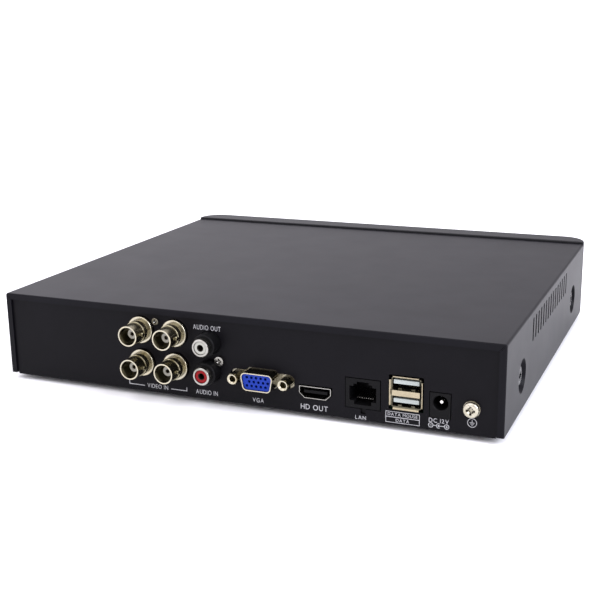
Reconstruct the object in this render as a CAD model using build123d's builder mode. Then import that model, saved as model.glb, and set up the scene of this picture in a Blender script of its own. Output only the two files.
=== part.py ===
from build123d import *
import os
from math import atan2, cos, degrees, radians, sin, tan

os.makedirs("parts", exist_ok=True)

# ------------------------------------------------------------------------------------------
# A four-channel video recorder in a folded steel case.
# Row frame: +X to the right seen from the front, +Y to the rear, +Z up, origin at the
# bottom centre of the whole recorder. All sizes in millimetres.
# ------------------------------------------------------------------------------------------

# Case
WIDTH = 250.0  # over the cover's side walls
DEPTH = 222.0  # bezel front to the cover's rear face
HEIGHT = 42.2  # tray underside to the cover's top
FOOT = 2.5  # height of the rubber feet
SHEET = 0.8  # thickness of every folded sheet
RETURN = 3.1  # width of the cover's return round the rear panel
PANEL_SETBACK = 1.0  # rear panel behind the cover's rear face
BEZEL_DEPTH = 14.0
BEZEL_RAISE = 1.2  # bezel top above the cover
BEZEL_CORNER = 13.0  # plan radius of the bezel's front corners
BEZEL_WALL = 2.0
VIDEO_PROUD = 12.0  # video sockets beyond the cover's rear face

# Planes that the rest is placed from
FRONT = -(DEPTH + VIDEO_PROUD) / 2
REAR = FRONT + DEPTH
PANEL = REAR - PANEL_SETBACK
PANEL_BACK = PANEL - SHEET
BASE = FOOT
FLOOR = BASE + SHEET
TOP = BASE + HEIGHT
SIDE = WIDTH / 2
BEZEL_BACK = FRONT + BEZEL_DEPTH
BEZEL_BOTTOM = BASE + 0.5
BEZEL_TOP = TOP + BEZEL_RAISE
COVER_FRONT = BEZEL_BACK + 0.3
COVER_BOTTOM = BASE + 1.0
TRAY_SIDE = SIDE - 3.7
TRAY_FRONT = BEZEL_BACK + 0.6
PANEL_SIDE = SIDE - 1.4
PANEL_TOP = TOP - 1.1

# Side fixings and side vents
DIMPLE_Y = 70.0
DIMPLE_Z = BASE + 17.5
DIMPLE_MOUTH = 8.0
DIMPLE_FLOOR = 6.6
DIMPLE_DEPTH = 2.8
VENT_COUNT = 15
VENT_PITCH = 6.5
VENT_WIDTH = 2.5
VENT_HEIGHT = 11.2
VENT_Y = 2.0
VENT_Z = BASE + 32.8

# Main board
BOARD_THICK = 1.6
BOARD_TOP = FLOOR + 5.0
BOARD_BOTTOM = BOARD_TOP - BOARD_THICK
BOARD_LEFT = -108.0
BOARD_RIGHT = 64.0
BOARD_FRONT = 12.0
BOARD_REAR = PANEL_BACK - 1.2
BOARD_FIXINGS = [(60, 96), (-104.8, 96), (4, 72), (60, 17), (-104.8, 45), (-22, 17)]

# Rear panel connectors: centres as x and height
SOCKET_BACK = PANEL_BACK - 0.2  # front face of the housings that stand behind the panel
VIDEO_CENTRE = (39.3, BASE + 22.9)
VIDEO_PITCH = (18.0, 16.2)
AUDIO_X = 12.5
AUDIO_OUT_Z = BASE + 28.1
AUDIO_IN_Z = BASE + 14.5
SCREW_UPPER = (40.1, BASE + 35.8)
SCREW_LOWER = (7.1, BASE + 20.1)
VGA = (-14.0, BASE + 13.9)
VGA_SCREW_PITCH = 25.0
HD = (-39.9, BASE + 10.3)
HD_WIDTH = 15.2
HD_HEIGHT = 5.6
LAN = (-62.3, BASE + 12.65)
LAN_SIZE = (15.9, 13.5)
USB = (-82.0, BASE + 15.25)
USB_BODY = (13.1, 13.3)
DC = (-97.15, BASE + 11.75)
DC_HOLE = (-97.3, BASE + 12.9)
DC_SIZE = (9.0, 11.3)
EARTH = (-110.9, BASE + 12.2)

# Hard disk, with its long side across the case
DISK_LENGTH = 147.0
DISK_DEPTH = 101.6
DISK_HEIGHT = 26.1
DISK_LEFT = -43.5
DISK_FRONT = -95.0
EMBOSS = 1.5  # height of the pressed pads that carry the disk
DISK_BOTTOM = FLOOR + EMBOSS
DISK_TOP = DISK_BOTTOM + DISK_HEIGHT
DISK_CENTRE = (DISK_LEFT + DISK_LENGTH / 2, DISK_FRONT + DISK_DEPTH / 2)
DISK_HOLES = [
    (DISK_LEFT + along, DISK_CENTRE[1] + across)
    for along in (41.28, 41.28 + 44.45)
    for across in (-47.625, 47.625)
]
SPINDLE = (DISK_LEFT + DISK_LENGTH - 51.0, DISK_CENTRE[1])
PIVOT = (SPINDLE[0] - 54.0, SPINDLE[1] - 20.0)
PLATTER_RADIUS = 47.5
PLATTER_THICK = 1.27
PLATTERS_Z = (DISK_BOTTOM + 11.2, DISK_BOTTOM + 15.2)
CAVITY_FLOOR = DISK_BOTTOM + 7.7
LID_THICK = 1.2
ARM_LENGTH = 52.0
PARK_RADIUS = 20.0  # heads rest this far from the spindle axis
RUN_FIT = 0.05  # radial running clearance of the spindle, the arm pivot and the earth screw


def from_rear(y):
    """Sketch plane at y with x across and z up; a positive extrude runs towards the front."""
    return Plane.XZ.offset(-y)


def save(piece, label):
    """Label a finished piece and write its STEP file."""
    piece.part.label = label
    export_step(piece.part, f"parts/{label}.step")


def d_outline(width, height, radius):
    """D-shaped connector outline, wide side up, with sides that lean in 10 degrees."""
    lean = height * tan(radians(10))
    corners = [
        (-width / 2, height / 2),
        (width / 2, height / 2),
        (width / 2 - lean, -height / 2),
        (-width / 2 + lean, -height / 2),
    ]
    with BuildSketch() as outline:
        Polygon(*corners, align=None)
        fillet(outline.vertices(), radius)
    return outline.sketch


def hd_outline(grow):
    """Outline of the digital video socket: square upper corners, chamfered lower ones."""
    half = HD_WIDTH / 2 + grow
    high = HD_HEIGHT / 2 + grow
    corners = [
        (-half, high),
        (half, high),
        (half, high - 3.2 - grow),
        (half - 2.5 - grow / 2, -high),
        (-half + 2.5 + grow / 2, -high),
        (-half, high - 3.2 - grow),
    ]
    with BuildSketch() as outline:
        Polygon(*corners, align=None)
        fillet(outline.vertices(), 0.35)
    return outline.sketch


def grid_points(centre, pitch):
    """The four points of a two by two grid, given as x and height."""
    return [
        (centre[0] + i * pitch[0] / 2, centre[1] + j * pitch[1] / 2)
        for i in (-1, 1)
        for j in (-1, 1)
    ]


VIDEO_POINTS = grid_points(VIDEO_CENTRE, VIDEO_PITCH)
AUDIO_POINTS = [(AUDIO_X, AUDIO_OUT_Z), (AUDIO_X, AUDIO_IN_Z)]
VGA_SCREWS = [(VGA[0] + side * VGA_SCREW_PITCH / 2, VGA[1]) for side in (-1, 1)]
SIDE_FIXINGS = [(side, y) for side in (-1, 1) for y in (-DIMPLE_Y, DIMPLE_Y)]

# ------------------------------------------------------------------------------------------
# Base tray: floor, rear panel, low side walls with screw tabs, front wall
# ------------------------------------------------------------------------------------------
TRAY_WALL_TOP = BASE + 11.5
TRAY_TAB_TOP = DIMPLE_Z + 9.0
TRAY_TAB_WIDTH = 24.0
TRAY_FRONT_TOP = TOP - 4.2
HOOK_X = 80.0
HOOK_HEIGHTS = ((BASE + 5.5, -1), (TOP - 9.7, 1))  # height and the way the barb points
CABLE_HOLE = (-104.0, BASE + 17.5)

with BuildPart() as base_tray:
    with BuildSketch(Plane.XY.offset(BASE)):
        with Locations((0, (TRAY_FRONT + PANEL) / 2)):
            Rectangle(2 * TRAY_SIDE, PANEL - TRAY_FRONT)
    extrude(amount=SHEET)
    with BuildSketch(from_rear(PANEL)):
        with Locations((0, (BASE + PANEL_TOP) / 2)):
            Rectangle(2 * TRAY_SIDE, PANEL_TOP - BASE)
        with Locations((0, (COVER_BOTTOM + PANEL_TOP) / 2)):
            Rectangle(2 * PANEL_SIDE, PANEL_TOP - COVER_BOTTOM)
    extrude(amount=SHEET)
    bend = base_tray.edges().filter_by(Axis.X).group_by(Axis.Z)[0].sort_by(Axis.Y)[-1]
    fillet(bend, radius=0.7)
    for wall_x in (-TRAY_SIDE, TRAY_SIDE - SHEET):
        with BuildSketch(Plane.YZ.offset(wall_x)):
            with Locations(((TRAY_FRONT + PANEL_BACK) / 2, (FLOOR + TRAY_WALL_TOP) / 2)):
                Rectangle(PANEL_BACK - TRAY_FRONT, TRAY_WALL_TOP - FLOOR)
            for tab_y in (-DIMPLE_Y, DIMPLE_Y):
                with Locations((tab_y, (FLOOR + TRAY_TAB_TOP) / 2)):
                    RectangleRounded(TRAY_TAB_WIDTH, TRAY_TAB_TOP - FLOOR, 2)
        extrude(amount=SHEET)
    with BuildSketch(from_rear(TRAY_FRONT + SHEET)):
        with Locations((0, (FLOOR + TRAY_FRONT_TOP) / 2)):
            Rectangle(2 * TRAY_SIDE, TRAY_FRONT_TOP - FLOOR)
    extrude(amount=SHEET)
    with BuildSketch(from_rear(PANEL)):
        with Locations(*VIDEO_POINTS):
            Circle(6.8)
        with Locations(*AUDIO_POINTS):
            Circle(5.75)
        with Locations(SCREW_UPPER, SCREW_LOWER):
            Circle(1.6)
        with Locations(VGA):
            add(d_outline(17.6, 9.6, 2.6))
            RectangleRounded(32.2, 6.6, 3.2)
        with Locations(HD):
            add(hd_outline(0.45))
        with Locations(LAN):
            Rectangle(LAN_SIZE[0] + 0.7, LAN_SIZE[1] + 0.7)
        with Locations((LAN[0] - 0.1, BASE + 4.4)):
            Rectangle(2.3, 2.3)
        with Locations(USB):
            RectangleRounded(15.7, 15.9, 0.6)
        with Locations(DC):
            Rectangle(DC_SIZE[0] + 0.7, DC_SIZE[1] + 0.7)
        with Locations(EARTH):
            Circle(2.4)
    extrude(amount=SHEET, mode=Mode.SUBTRACT)
    with BuildSketch(from_rear(TRAY_FRONT + SHEET)):
        for hook_z, _ in HOOK_HEIGHTS:
            with Locations((-HOOK_X, hook_z), (HOOK_X, hook_z)):
                Rectangle(9.0, 3.2)
        with Locations(CABLE_HOLE):
            RectangleRounded(11, 10, 1.5)
    extrude(amount=SHEET, mode=Mode.SUBTRACT)
    with Locations(*[(x, y, FLOOR + EMBOSS / 2) for x, y in DISK_HOLES]):
        Cone(bottom_radius=7.5, top_radius=6.5, height=EMBOSS)
    with Locations(*[(x, y, BASE + EMBOSS / 2) for x, y in DISK_HOLES]):
        Cone(bottom_radius=6.7, top_radius=5.7, height=EMBOSS, mode=Mode.SUBTRACT)
    with Locations(*[(x, y, FLOOR) for x, y in DISK_HOLES]):
        Cylinder(radius=1.9, height=6, mode=Mode.SUBTRACT)
    with Locations(*[(side * TRAY_SIDE, y, DIMPLE_Z) for side, y in SIDE_FIXINGS]):
        Cylinder(radius=1.5, height=4, rotation=(0, 90, 0), mode=Mode.SUBTRACT)
save(base_tray, "base_tray")

# ------------------------------------------------------------------------------------------
# Top cover: roof and two sides in one folded sheet, with a mitred return round the rear
# ------------------------------------------------------------------------------------------
COVER_RADIUS = 1.2

with BuildPart() as top_cover:
    with BuildSketch(from_rear(REAR)) as cover_end:
        with Locations((0, (COVER_BOTTOM + TOP) / 2)):
            Rectangle(WIDTH, TOP - COVER_BOTTOM)
        fillet(cover_end.vertices().group_by(Axis.Y)[-1], COVER_RADIUS)
    extrude(amount=REAR - COVER_FRONT)
    rear_edges = top_cover.faces().sort_by(Axis.Y)[-1].edges().sort_by(Axis.Z)[1:]
    fillet(rear_edges, radius=0.75)
    with BuildSketch(from_rear(REAR - SHEET)) as cover_inside:
        with Locations((0, (COVER_BOTTOM + TOP - SHEET) / 2)):
            Rectangle(WIDTH - 2 * SHEET, TOP - SHEET - COVER_BOTTOM)
        fillet(cover_inside.vertices().group_by(Axis.Y)[-1], COVER_RADIUS - SHEET)
    extrude(amount=REAR - SHEET - COVER_FRONT, mode=Mode.SUBTRACT)
    with BuildSketch(from_rear(REAR)):
        with Locations((0, (COVER_BOTTOM + TOP - RETURN) / 2)):
            Rectangle(WIDTH - 2 * RETURN, TOP - RETURN - COVER_BOTTOM)
    extrude(amount=SHEET, mode=Mode.SUBTRACT)
    with BuildSketch(from_rear(REAR)):
        for side in (-1, 1):
            with Locations((side * (SIDE - RETURN + 0.88), TOP - RETURN + 0.88)):
                Rectangle(2.8, 0.22, rotation=45 * side)
    extrude(amount=SHEET, mode=Mode.SUBTRACT)
    for side in (-1, 1):
        outside = SIDE - DIMPLE_DEPTH / 2
        inside = SIDE - SHEET - DIMPLE_DEPTH / 2
        tilt = (0, 90 * side, 0)
        with Locations(*[(side * inside, y, DIMPLE_Z) for y in (-DIMPLE_Y, DIMPLE_Y)]):
            Cone(DIMPLE_FLOOR + 0.9, DIMPLE_MOUTH + 0.9, DIMPLE_DEPTH, rotation=tilt)
        with Locations(*[(side * outside, y, DIMPLE_Z) for y in (-DIMPLE_Y, DIMPLE_Y)]):
            Cone(DIMPLE_FLOOR, DIMPLE_MOUTH, DIMPLE_DEPTH, rotation=tilt, mode=Mode.SUBTRACT)
        with Locations(*[(side * (SIDE - 3), y, DIMPLE_Z) for y in (-DIMPLE_Y, DIMPLE_Y)]):
            Cylinder(radius=1.8, height=4, rotation=tilt, mode=Mode.SUBTRACT)
    with BuildSketch(Plane.YZ.offset(-SIDE)):
        with Locations((VENT_Y, VENT_Z)):
            with GridLocations(VENT_PITCH, 1, VENT_COUNT, 1):
                RectangleRounded(VENT_WIDTH, VENT_HEIGHT, 0.7)
    extrude(amount=WIDTH, mode=Mode.SUBTRACT)
save(top_cover, "top_cover")

# ------------------------------------------------------------------------------------------
# Front bezel: hollow moulding with a lip inside the cover, hooks, and a display window
# ------------------------------------------------------------------------------------------
WINDOW_X = -72.0
WINDOW_Z = BASE + 21.0
WINDOW_SIZE = (64.0, 13.0)
LIP = 1.6
LIP_LENGTH = 4.0
LED_BOARD_FRONT = FRONT + 6.0
LED_BOARD_PEGS = [(-110.5, WINDOW_Z), (-33.5, WINDOW_Z)]

with BuildPart() as front_bezel:
    with BuildSketch(Plane.XY.offset(BEZEL_BOTTOM)) as bezel_plan:
        with Locations((0, (FRONT + BEZEL_BACK) / 2)):
            Rectangle(WIDTH, BEZEL_DEPTH)
        fillet(bezel_plan.vertices().group_by(Axis.Y)[0], BEZEL_CORNER)
    extrude(amount=BEZEL_TOP - BEZEL_BOTTOM)
    for end in (Axis.Z, -Axis.Z):
        rim = front_bezel.faces().sort_by(end)[-1].edges().sort_by(Axis.Y)[:-1]
        fillet(rim, radius=1.1)
    fillet(front_bezel.faces().sort_by(Axis.Y)[-1].edges(), radius=0.7)
    with BuildSketch(Plane.XY.offset(BEZEL_BOTTOM + BEZEL_WALL)) as bezel_hollow:
        with Locations((0, (FRONT + BEZEL_WALL + BEZEL_BACK) / 2)):
            Rectangle(WIDTH - 2 * BEZEL_WALL, BEZEL_DEPTH - BEZEL_WALL)
        fillet(bezel_hollow.vertices().group_by(Axis.Y)[0], BEZEL_CORNER - BEZEL_WALL)
    extrude(amount=BEZEL_TOP - BEZEL_BOTTOM - 2 * BEZEL_WALL, mode=Mode.SUBTRACT)
    with BuildSketch(from_rear(BEZEL_BACK + LIP_LENGTH)):
        with Locations((0, (BEZEL_BOTTOM + BEZEL_WALL + TOP - SHEET - 0.4) / 2)):
            Rectangle(WIDTH - 2.4, TOP - SHEET - 0.4 - BEZEL_BOTTOM - BEZEL_WALL)
        with Locations((0, (BEZEL_BOTTOM + BEZEL_WALL + TOP - SHEET - 0.4 - LIP) / 2)):
            inner_height = TOP - SHEET - 0.4 - LIP - BEZEL_BOTTOM - BEZEL_WALL
            Rectangle(WIDTH - 2.4 - 2 * LIP, inner_height, mode=Mode.SUBTRACT)
    extrude(amount=LIP_LENGTH + 1.0)
    with BuildSketch(from_rear(FRONT + BEZEL_WALL)):
        with Locations((WINDOW_X, WINDOW_Z)):
            RectangleRounded(WINDOW_SIZE[0], WINDOW_SIZE[1], 3.0)
    extrude(amount=BEZEL_WALL, mode=Mode.SUBTRACT)
    with BuildSketch(from_rear(FRONT + 0.6)):
        with Locations((0, BASE + 7.0)):
            Rectangle(WIDTH + 2, 0.8)
    extrude(amount=0.6, mode=Mode.SUBTRACT)
    with BuildSketch(from_rear(LED_BOARD_FRONT)):
        with Locations(*LED_BOARD_PEGS):
            Circle(2.5)
    extrude(amount=LED_BOARD_FRONT - FRONT - BEZEL_WALL)
    with BuildSketch(from_rear(LED_BOARD_FRONT + 2.1)):
        with Locations(*LED_BOARD_PEGS):
            Circle(1.2)
    extrude(amount=2.1)
    for hook_z, barb in HOOK_HEIGHTS:
        tip = TRAY_FRONT + SHEET
        for hook_x in (-HOOK_X, HOOK_X):
            with BuildSketch(Plane.YZ.offset(hook_x - 4)):
                with Locations(((FRONT + 1 + tip + 2) / 2, hook_z)):
                    Rectangle(tip + 1 - FRONT, 2)
                barb_points = [(tip + 0.3, hook_z), (tip + 2, hook_z)]
                barb_points += [(tip + 2, hook_z + barb), (tip + 0.3, hook_z + barb * 2.2)]
                Polygon(*barb_points, align=None)
            extrude(amount=8)
save(front_bezel, "front_bezel")

with BuildPart() as front_window:
    with BuildSketch(from_rear(FRONT + BEZEL_WALL)):
        with Locations((WINDOW_X, WINDOW_Z)):
            RectangleRounded(WINDOW_SIZE[0] - 0.3, WINDOW_SIZE[1] - 0.3, 2.85)
    extrude(amount=BEZEL_WALL - 0.4)
    with BuildSketch(from_rear(FRONT + BEZEL_WALL + 1.0)):
        with Locations((WINDOW_X, WINDOW_Z)):
            RectangleRounded(WINDOW_SIZE[0] + 4, WINDOW_SIZE[1] + 4, 4.0)
    extrude(amount=1.0)
save(front_window, "front_window")

# ------------------------------------------------------------------------------------------
# Case fasteners and feet
# ------------------------------------------------------------------------------------------
COVER_HEAD = 4.9
COVER_HEAD_THICK = 1.8

with BuildPart() as cover_screws:
    for side in (-1, 1):
        seat = SIDE - DIMPLE_DEPTH
        tilt = (0, 90 * side, 0)
        middle = side * (seat + COVER_HEAD_THICK / 2)
        with Locations(*[(middle, y, DIMPLE_Z) for y in (-DIMPLE_Y, DIMPLE_Y)]):
            Cylinder(radius=COVER_HEAD, height=COVER_HEAD_THICK, rotation=tilt)
        with Locations(*[(side * (seat - 2.6), y, DIMPLE_Z) for y in (-DIMPLE_Y, DIMPLE_Y)]):
            Cylinder(radius=1.45, height=5.2, rotation=tilt)
    rims = cover_screws.edges().filter_by(GeomType.CIRCLE)
    rims = rims.filter_by(lambda rim: abs(rim.radius - COVER_HEAD) < 0.01)
    outer_rims = rims.filter_by(lambda rim: abs(rim.center().X) > SIDE - DIMPLE_DEPTH + 1)
    fillet(outer_rims, radius=1.2)
    for side, y in SIDE_FIXINGS:
        face = SIDE - DIMPLE_DEPTH + COVER_HEAD_THICK
        with Locations((side * face, y, DIMPLE_Z)):
            Box(2.4, 4.6, 1.0, mode=Mode.SUBTRACT)
            Box(2.4, 1.0, 4.6, mode=Mode.SUBTRACT)
        with Locations((side * (face - 0.6), y, DIMPLE_Z)):
            Cone(0.5, 1.7, 1.2, rotation=(0, 90 * side, 0), mode=Mode.SUBTRACT)
save(cover_screws, "cover_screws")

with BuildPart() as rubber_feet:
    with Locations(*[(x, y, FOOT / 2) for x in (-102, 102) for y in (-84, 80)]):
        Cone(bottom_radius=6.6, top_radius=7.5, height=FOOT)
    fillet(rubber_feet.edges().group_by(Axis.Z)[0], radius=0.6)
save(rubber_feet, "rubber_feet")

# ------------------------------------------------------------------------------------------
# Main board on its standoffs
# ------------------------------------------------------------------------------------------
with BuildPart() as main_board:
    with BuildSketch(Plane.XY.offset(BOARD_BOTTOM)):
        with Locations(((BOARD_LEFT + BOARD_RIGHT) / 2, (BOARD_FRONT + BOARD_REAR) / 2)):
            RectangleRounded(BOARD_RIGHT - BOARD_LEFT, BOARD_REAR - BOARD_FRONT, 1.0)
        with Locations(*BOARD_FIXINGS):
            Circle(1.6, mode=Mode.SUBTRACT)
    extrude(amount=BOARD_THICK)
save(main_board, "main_board")

with BuildPart() as board_standoffs:
    with BuildSketch(Plane.XY.offset(FLOOR)):
        with Locations(*BOARD_FIXINGS):
            RegularPolygon(radius=3.0, side_count=6, major_radius=False)
            Circle(1.5, mode=Mode.SUBTRACT)
    extrude(amount=BOARD_BOTTOM - FLOOR)
save(board_standoffs, "board_standoffs")

with BuildPart() as board_screws:
    with BuildSketch(Plane.XY.offset(BOARD_TOP)):
        with Locations(*BOARD_FIXINGS):
            Circle(2.75)
    extrude(amount=1.9)
    fillet(board_screws.edges().group_by(Axis.Z)[-1], radius=0.8)
    with BuildSketch(Plane.XY.offset(BOARD_TOP)):
        with Locations(*BOARD_FIXINGS):
            Circle(1.42)
    extrude(amount=-4.6)
    for x, y in BOARD_FIXINGS:
        with Locations((x, y, BOARD_TOP + 1.5)):
            Box(3.0, 0.7, 1.0, mode=Mode.SUBTRACT)
            Box(0.7, 3.0, 1.0, mode=Mode.SUBTRACT)
save(board_screws, "board_screws")

# ------------------------------------------------------------------------------------------
# Video sockets: one housing behind the panel, four bayonet shells through it
# ------------------------------------------------------------------------------------------
VIDEO_TIP = REAR + VIDEO_PROUD
VIDEO_FLANGE = PANEL + 1.8
VIDEO_BODY_END = REAR + 5.4
VIDEO_HOUSING_TOP = VIDEO_CENTRE[1] + VIDEO_PITCH[1] / 2 + 7.4
VIDEO_HOUSING_BACK = SOCKET_BACK - 15.0

with BuildPart() as bnc_housing:
    with BuildSketch(from_rear(SOCKET_BACK)):
        with Locations((VIDEO_CENTRE[0], (BOARD_TOP + VIDEO_HOUSING_TOP) / 2)):
            RectangleRounded(32.6, VIDEO_HOUSING_TOP - BOARD_TOP, 0.6)
    extrude(amount=SOCKET_BACK - VIDEO_HOUSING_BACK)
    with BuildSketch(from_rear(SOCKET_BACK)):
        with Locations(*VIDEO_POINTS):
            Circle(1.05)
        with Locations(SCREW_UPPER):
            Circle(1.3)
    extrude(amount=6.0, mode=Mode.SUBTRACT)
save(bnc_housing, "bnc_housing")

with BuildPart() as bnc_shells:
    with BuildSketch(from_rear(VIDEO_FLANGE)):
        with Locations(*VIDEO_POINTS):
            Circle(6.5)
    extrude(amount=VIDEO_FLANGE - SOCKET_BACK)
    fillet(bnc_shells.edges().group_by(Axis.Y)[-1], radius=0.35)
    with BuildSketch(from_rear(VIDEO_BODY_END)):
        with Locations(*VIDEO_POINTS):
            Circle(5.3)
    extrude(amount=VIDEO_BODY_END - VIDEO_FLANGE)
    chamfer(bnc_shells.edges().group_by(Axis.Y)[-1], length=0.3)
    with BuildSketch(from_rear(VIDEO_TIP)):
        with Locations(*VIDEO_POINTS):
            Circle(4.85)
    extrude(amount=VIDEO_TIP - VIDEO_BODY_END)
    with BuildSketch(from_rear(VIDEO_TIP)):
        with Locations(*VIDEO_POINTS):
            Circle(4.25)
    extrude(amount=VIDEO_TIP - SOCKET_BACK, mode=Mode.SUBTRACT)
    for x, z in VIDEO_POINTS:
        for side in (-1, 1):
            with Locations((x + side * 5.1, VIDEO_TIP - 5.0, z)):
                Cylinder(radius=1.0, height=1.4, rotation=(0, 90, 0))
save(bnc_shells, "bnc_shells")

INSULATOR_STEP = SOCKET_BACK + 3.5
INSULATOR_TIP = VIDEO_TIP - 4.4

with BuildPart() as bnc_insulators:
    with BuildSketch(from_rear(INSULATOR_STEP)):
        with Locations(*VIDEO_POINTS):
            Circle(4.2)
    extrude(amount=INSULATOR_STEP - SOCKET_BACK)
    with BuildSketch(from_rear(INSULATOR_TIP)):
        with Locations(*VIDEO_POINTS):
            Circle(2.3)
    extrude(amount=INSULATOR_TIP - INSULATOR_STEP)
    with BuildSketch(from_rear(INSULATOR_TIP)):
        with Locations(*VIDEO_POINTS):
            Circle(1.05)
    extrude(amount=INSULATOR_TIP - SOCKET_BACK, mode=Mode.SUBTRACT)
save(bnc_insulators, "bnc_insulators")

with BuildPart() as bnc_contacts:
    with BuildSketch(from_rear(INSULATOR_TIP - 0.4)):
        with Locations(*VIDEO_POINTS):
            Circle(1.0)
    extrude(amount=INSULATOR_TIP - 0.4 - SOCKET_BACK + 5.0)
    with BuildSketch(from_rear(INSULATOR_TIP - 0.4)):
        with Locations(*VIDEO_POINTS):
            Circle(0.6)
    extrude(amount=5.0, mode=Mode.SUBTRACT)
save(bnc_contacts, "bnc_contacts")

# ------------------------------------------------------------------------------------------
# Audio sockets: black housing with two collars, metal rings, coloured inserts
# ------------------------------------------------------------------------------------------
AUDIO_TIP = REAR + 8.5
AUDIO_COLLAR_END = REAR + 5.2
AUDIO_RING_START = SOCKET_BACK - 2.0
AUDIO_TOP = AUDIO_OUT_Z + 6.9
AUDIO_BORE = 3.2  # inside the metal ring

with BuildPart() as rca_housing:
    with BuildSketch(from_rear(SOCKET_BACK)):
        with Locations((AUDIO_X, (BOARD_TOP + AUDIO_TOP) / 2)):
            Rectangle(11.6, AUDIO_TOP - BOARD_TOP)
        with Locations((AUDIO_X - 6.4, SCREW_LOWER[1])):
            Rectangle(5.0, 9.0)
    extrude(amount=14.0)
    with BuildSketch(from_rear(AUDIO_COLLAR_END)):
        with Locations(*AUDIO_POINTS):
            Circle(5.45)
    extrude(amount=AUDIO_COLLAR_END - SOCKET_BACK)
    chamfer(rca_housing.edges().group_by(Axis.Y)[-1], length=0.4)
    with BuildSketch(from_rear(AUDIO_COLLAR_END)):
        with Locations(*AUDIO_POINTS):
            Circle(4.2)
    extrude(amount=AUDIO_COLLAR_END - AUDIO_RING_START, mode=Mode.SUBTRACT)
    with BuildSketch(from_rear(SOCKET_BACK)):
        with Locations(SCREW_LOWER):
            Circle(1.5)
    extrude(amount=7.5, mode=Mode.SUBTRACT)
save(rca_housing, "rca_housing")

with BuildPart() as rca_rings:
    with BuildSketch(from_rear(AUDIO_TIP)):
        with Locations(*AUDIO_POINTS):
            Circle(4.15)
    extrude(amount=AUDIO_TIP - AUDIO_COLLAR_END)
    chamfer(rca_rings.edges().group_by(Axis.Y)[-1], length=0.2)
    with BuildSketch(from_rear(AUDIO_COLLAR_END)):
        with Locations(*AUDIO_POINTS):
            Circle(3.9)
    extrude(amount=AUDIO_COLLAR_END - AUDIO_RING_START)
    with BuildSketch(from_rear(AUDIO_TIP)):
        with Locations(*AUDIO_POINTS):
            Circle(AUDIO_BORE)
    extrude(amount=AUDIO_TIP - AUDIO_RING_START, mode=Mode.SUBTRACT)
save(rca_rings, "rca_rings")

for label, height in (("rca_insert_white", AUDIO_OUT_Z), ("rca_insert_red", AUDIO_IN_Z)):
    with BuildPart() as rca_insert:
        with BuildSketch(from_rear(AUDIO_TIP - 0.3)):
            with Locations((AUDIO_X, height)):
                Circle(AUDIO_BORE - 0.05)
                Circle(1.4, mode=Mode.SUBTRACT)
        extrude(amount=AUDIO_TIP - 0.3 - AUDIO_RING_START)
        chamfer(rca_insert.edges().group_by(Axis.Y)[-1], length=0.3)
    save(rca_insert, label)

with BuildPart() as panel_screws:
    for (x, z), head, thick, shank, depth in (
        (SCREW_UPPER, 1.65, 1.3, 1.25, 6.0),
        (SCREW_LOWER, 2.2, 1.8, 1.45, 7.5),
    ):
        with BuildSketch(from_rear(PANEL + thick)):
            with Locations((x, z)):
                Circle(head)
        extrude(amount=thick)
        with BuildSketch(from_rear(PANEL)):
            with Locations((x, z)):
                Circle(shank)
        extrude(amount=depth)
        with Locations((x, PANEL + thick, z)):
            Box(0.7, 1.8, head * 1.3, mode=Mode.SUBTRACT)
            Box(head * 1.3, 1.8, 0.7, mode=Mode.SUBTRACT)
        with Locations((x, PANEL + thick - 0.4, z)):
            Cone(head * 0.5, 0.3, 0.8, rotation=(90, 0, 0), mode=Mode.SUBTRACT)
save(panel_screws, "panel_screws")

# ------------------------------------------------------------------------------------------
# VGA socket: nickel shell, blue insert with fifteen contacts, two jackscrews
# ------------------------------------------------------------------------------------------
VGA_PLATE = PANEL_BACK - 0.05
VGA_TIP = REAR + 5.8
VGA_WALL = 0.45
VGA_SHELL = (16.3, 8.4, 2.2)
VGA_FACE = VGA_TIP - 0.8
VGA_BACK = SOCKET_BACK - 14.0
VGA_SHANK = 1.8  # radius of the jackscrews' shanks
JACKSCREW_BORE = 1.4
VGA_ROW_PITCH = 1.98
VGA_PIN_PITCH = 2.29
VGA_PINS = [
    (VGA[0] + (column - 2) * VGA_PIN_PITCH + shift, VGA[1] + row * VGA_ROW_PITCH)
    for row, shift in ((1, 0.38), (0, -0.76), (-1, 0.38))
    for column in range(5)
]

with BuildPart() as vga_shell:
    with BuildSketch(from_rear(VGA_PLATE)):
        with Locations(VGA):
            RectangleRounded(30.8, 12.5, 1.5)
    extrude(amount=SHEET)
    with BuildSketch(from_rear(VGA_TIP)):
        with Locations(VGA):
            add(d_outline(*VGA_SHELL))
    extrude(amount=VGA_TIP - VGA_PLATE)
    with BuildSketch(from_rear(VGA_TIP)):
        with Locations(VGA):
            add(offset(d_outline(*VGA_SHELL), -VGA_WALL, mode=Mode.PRIVATE))
    extrude(amount=VGA_TIP - VGA_PLATE + SHEET, mode=Mode.SUBTRACT)
    with BuildSketch(from_rear(VGA_PLATE)):
        with Locations(*VGA_SCREWS):
            Circle(VGA_SHANK + 0.1)
    extrude(amount=SHEET, mode=Mode.SUBTRACT)
save(vga_shell, "vga_shell")

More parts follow.
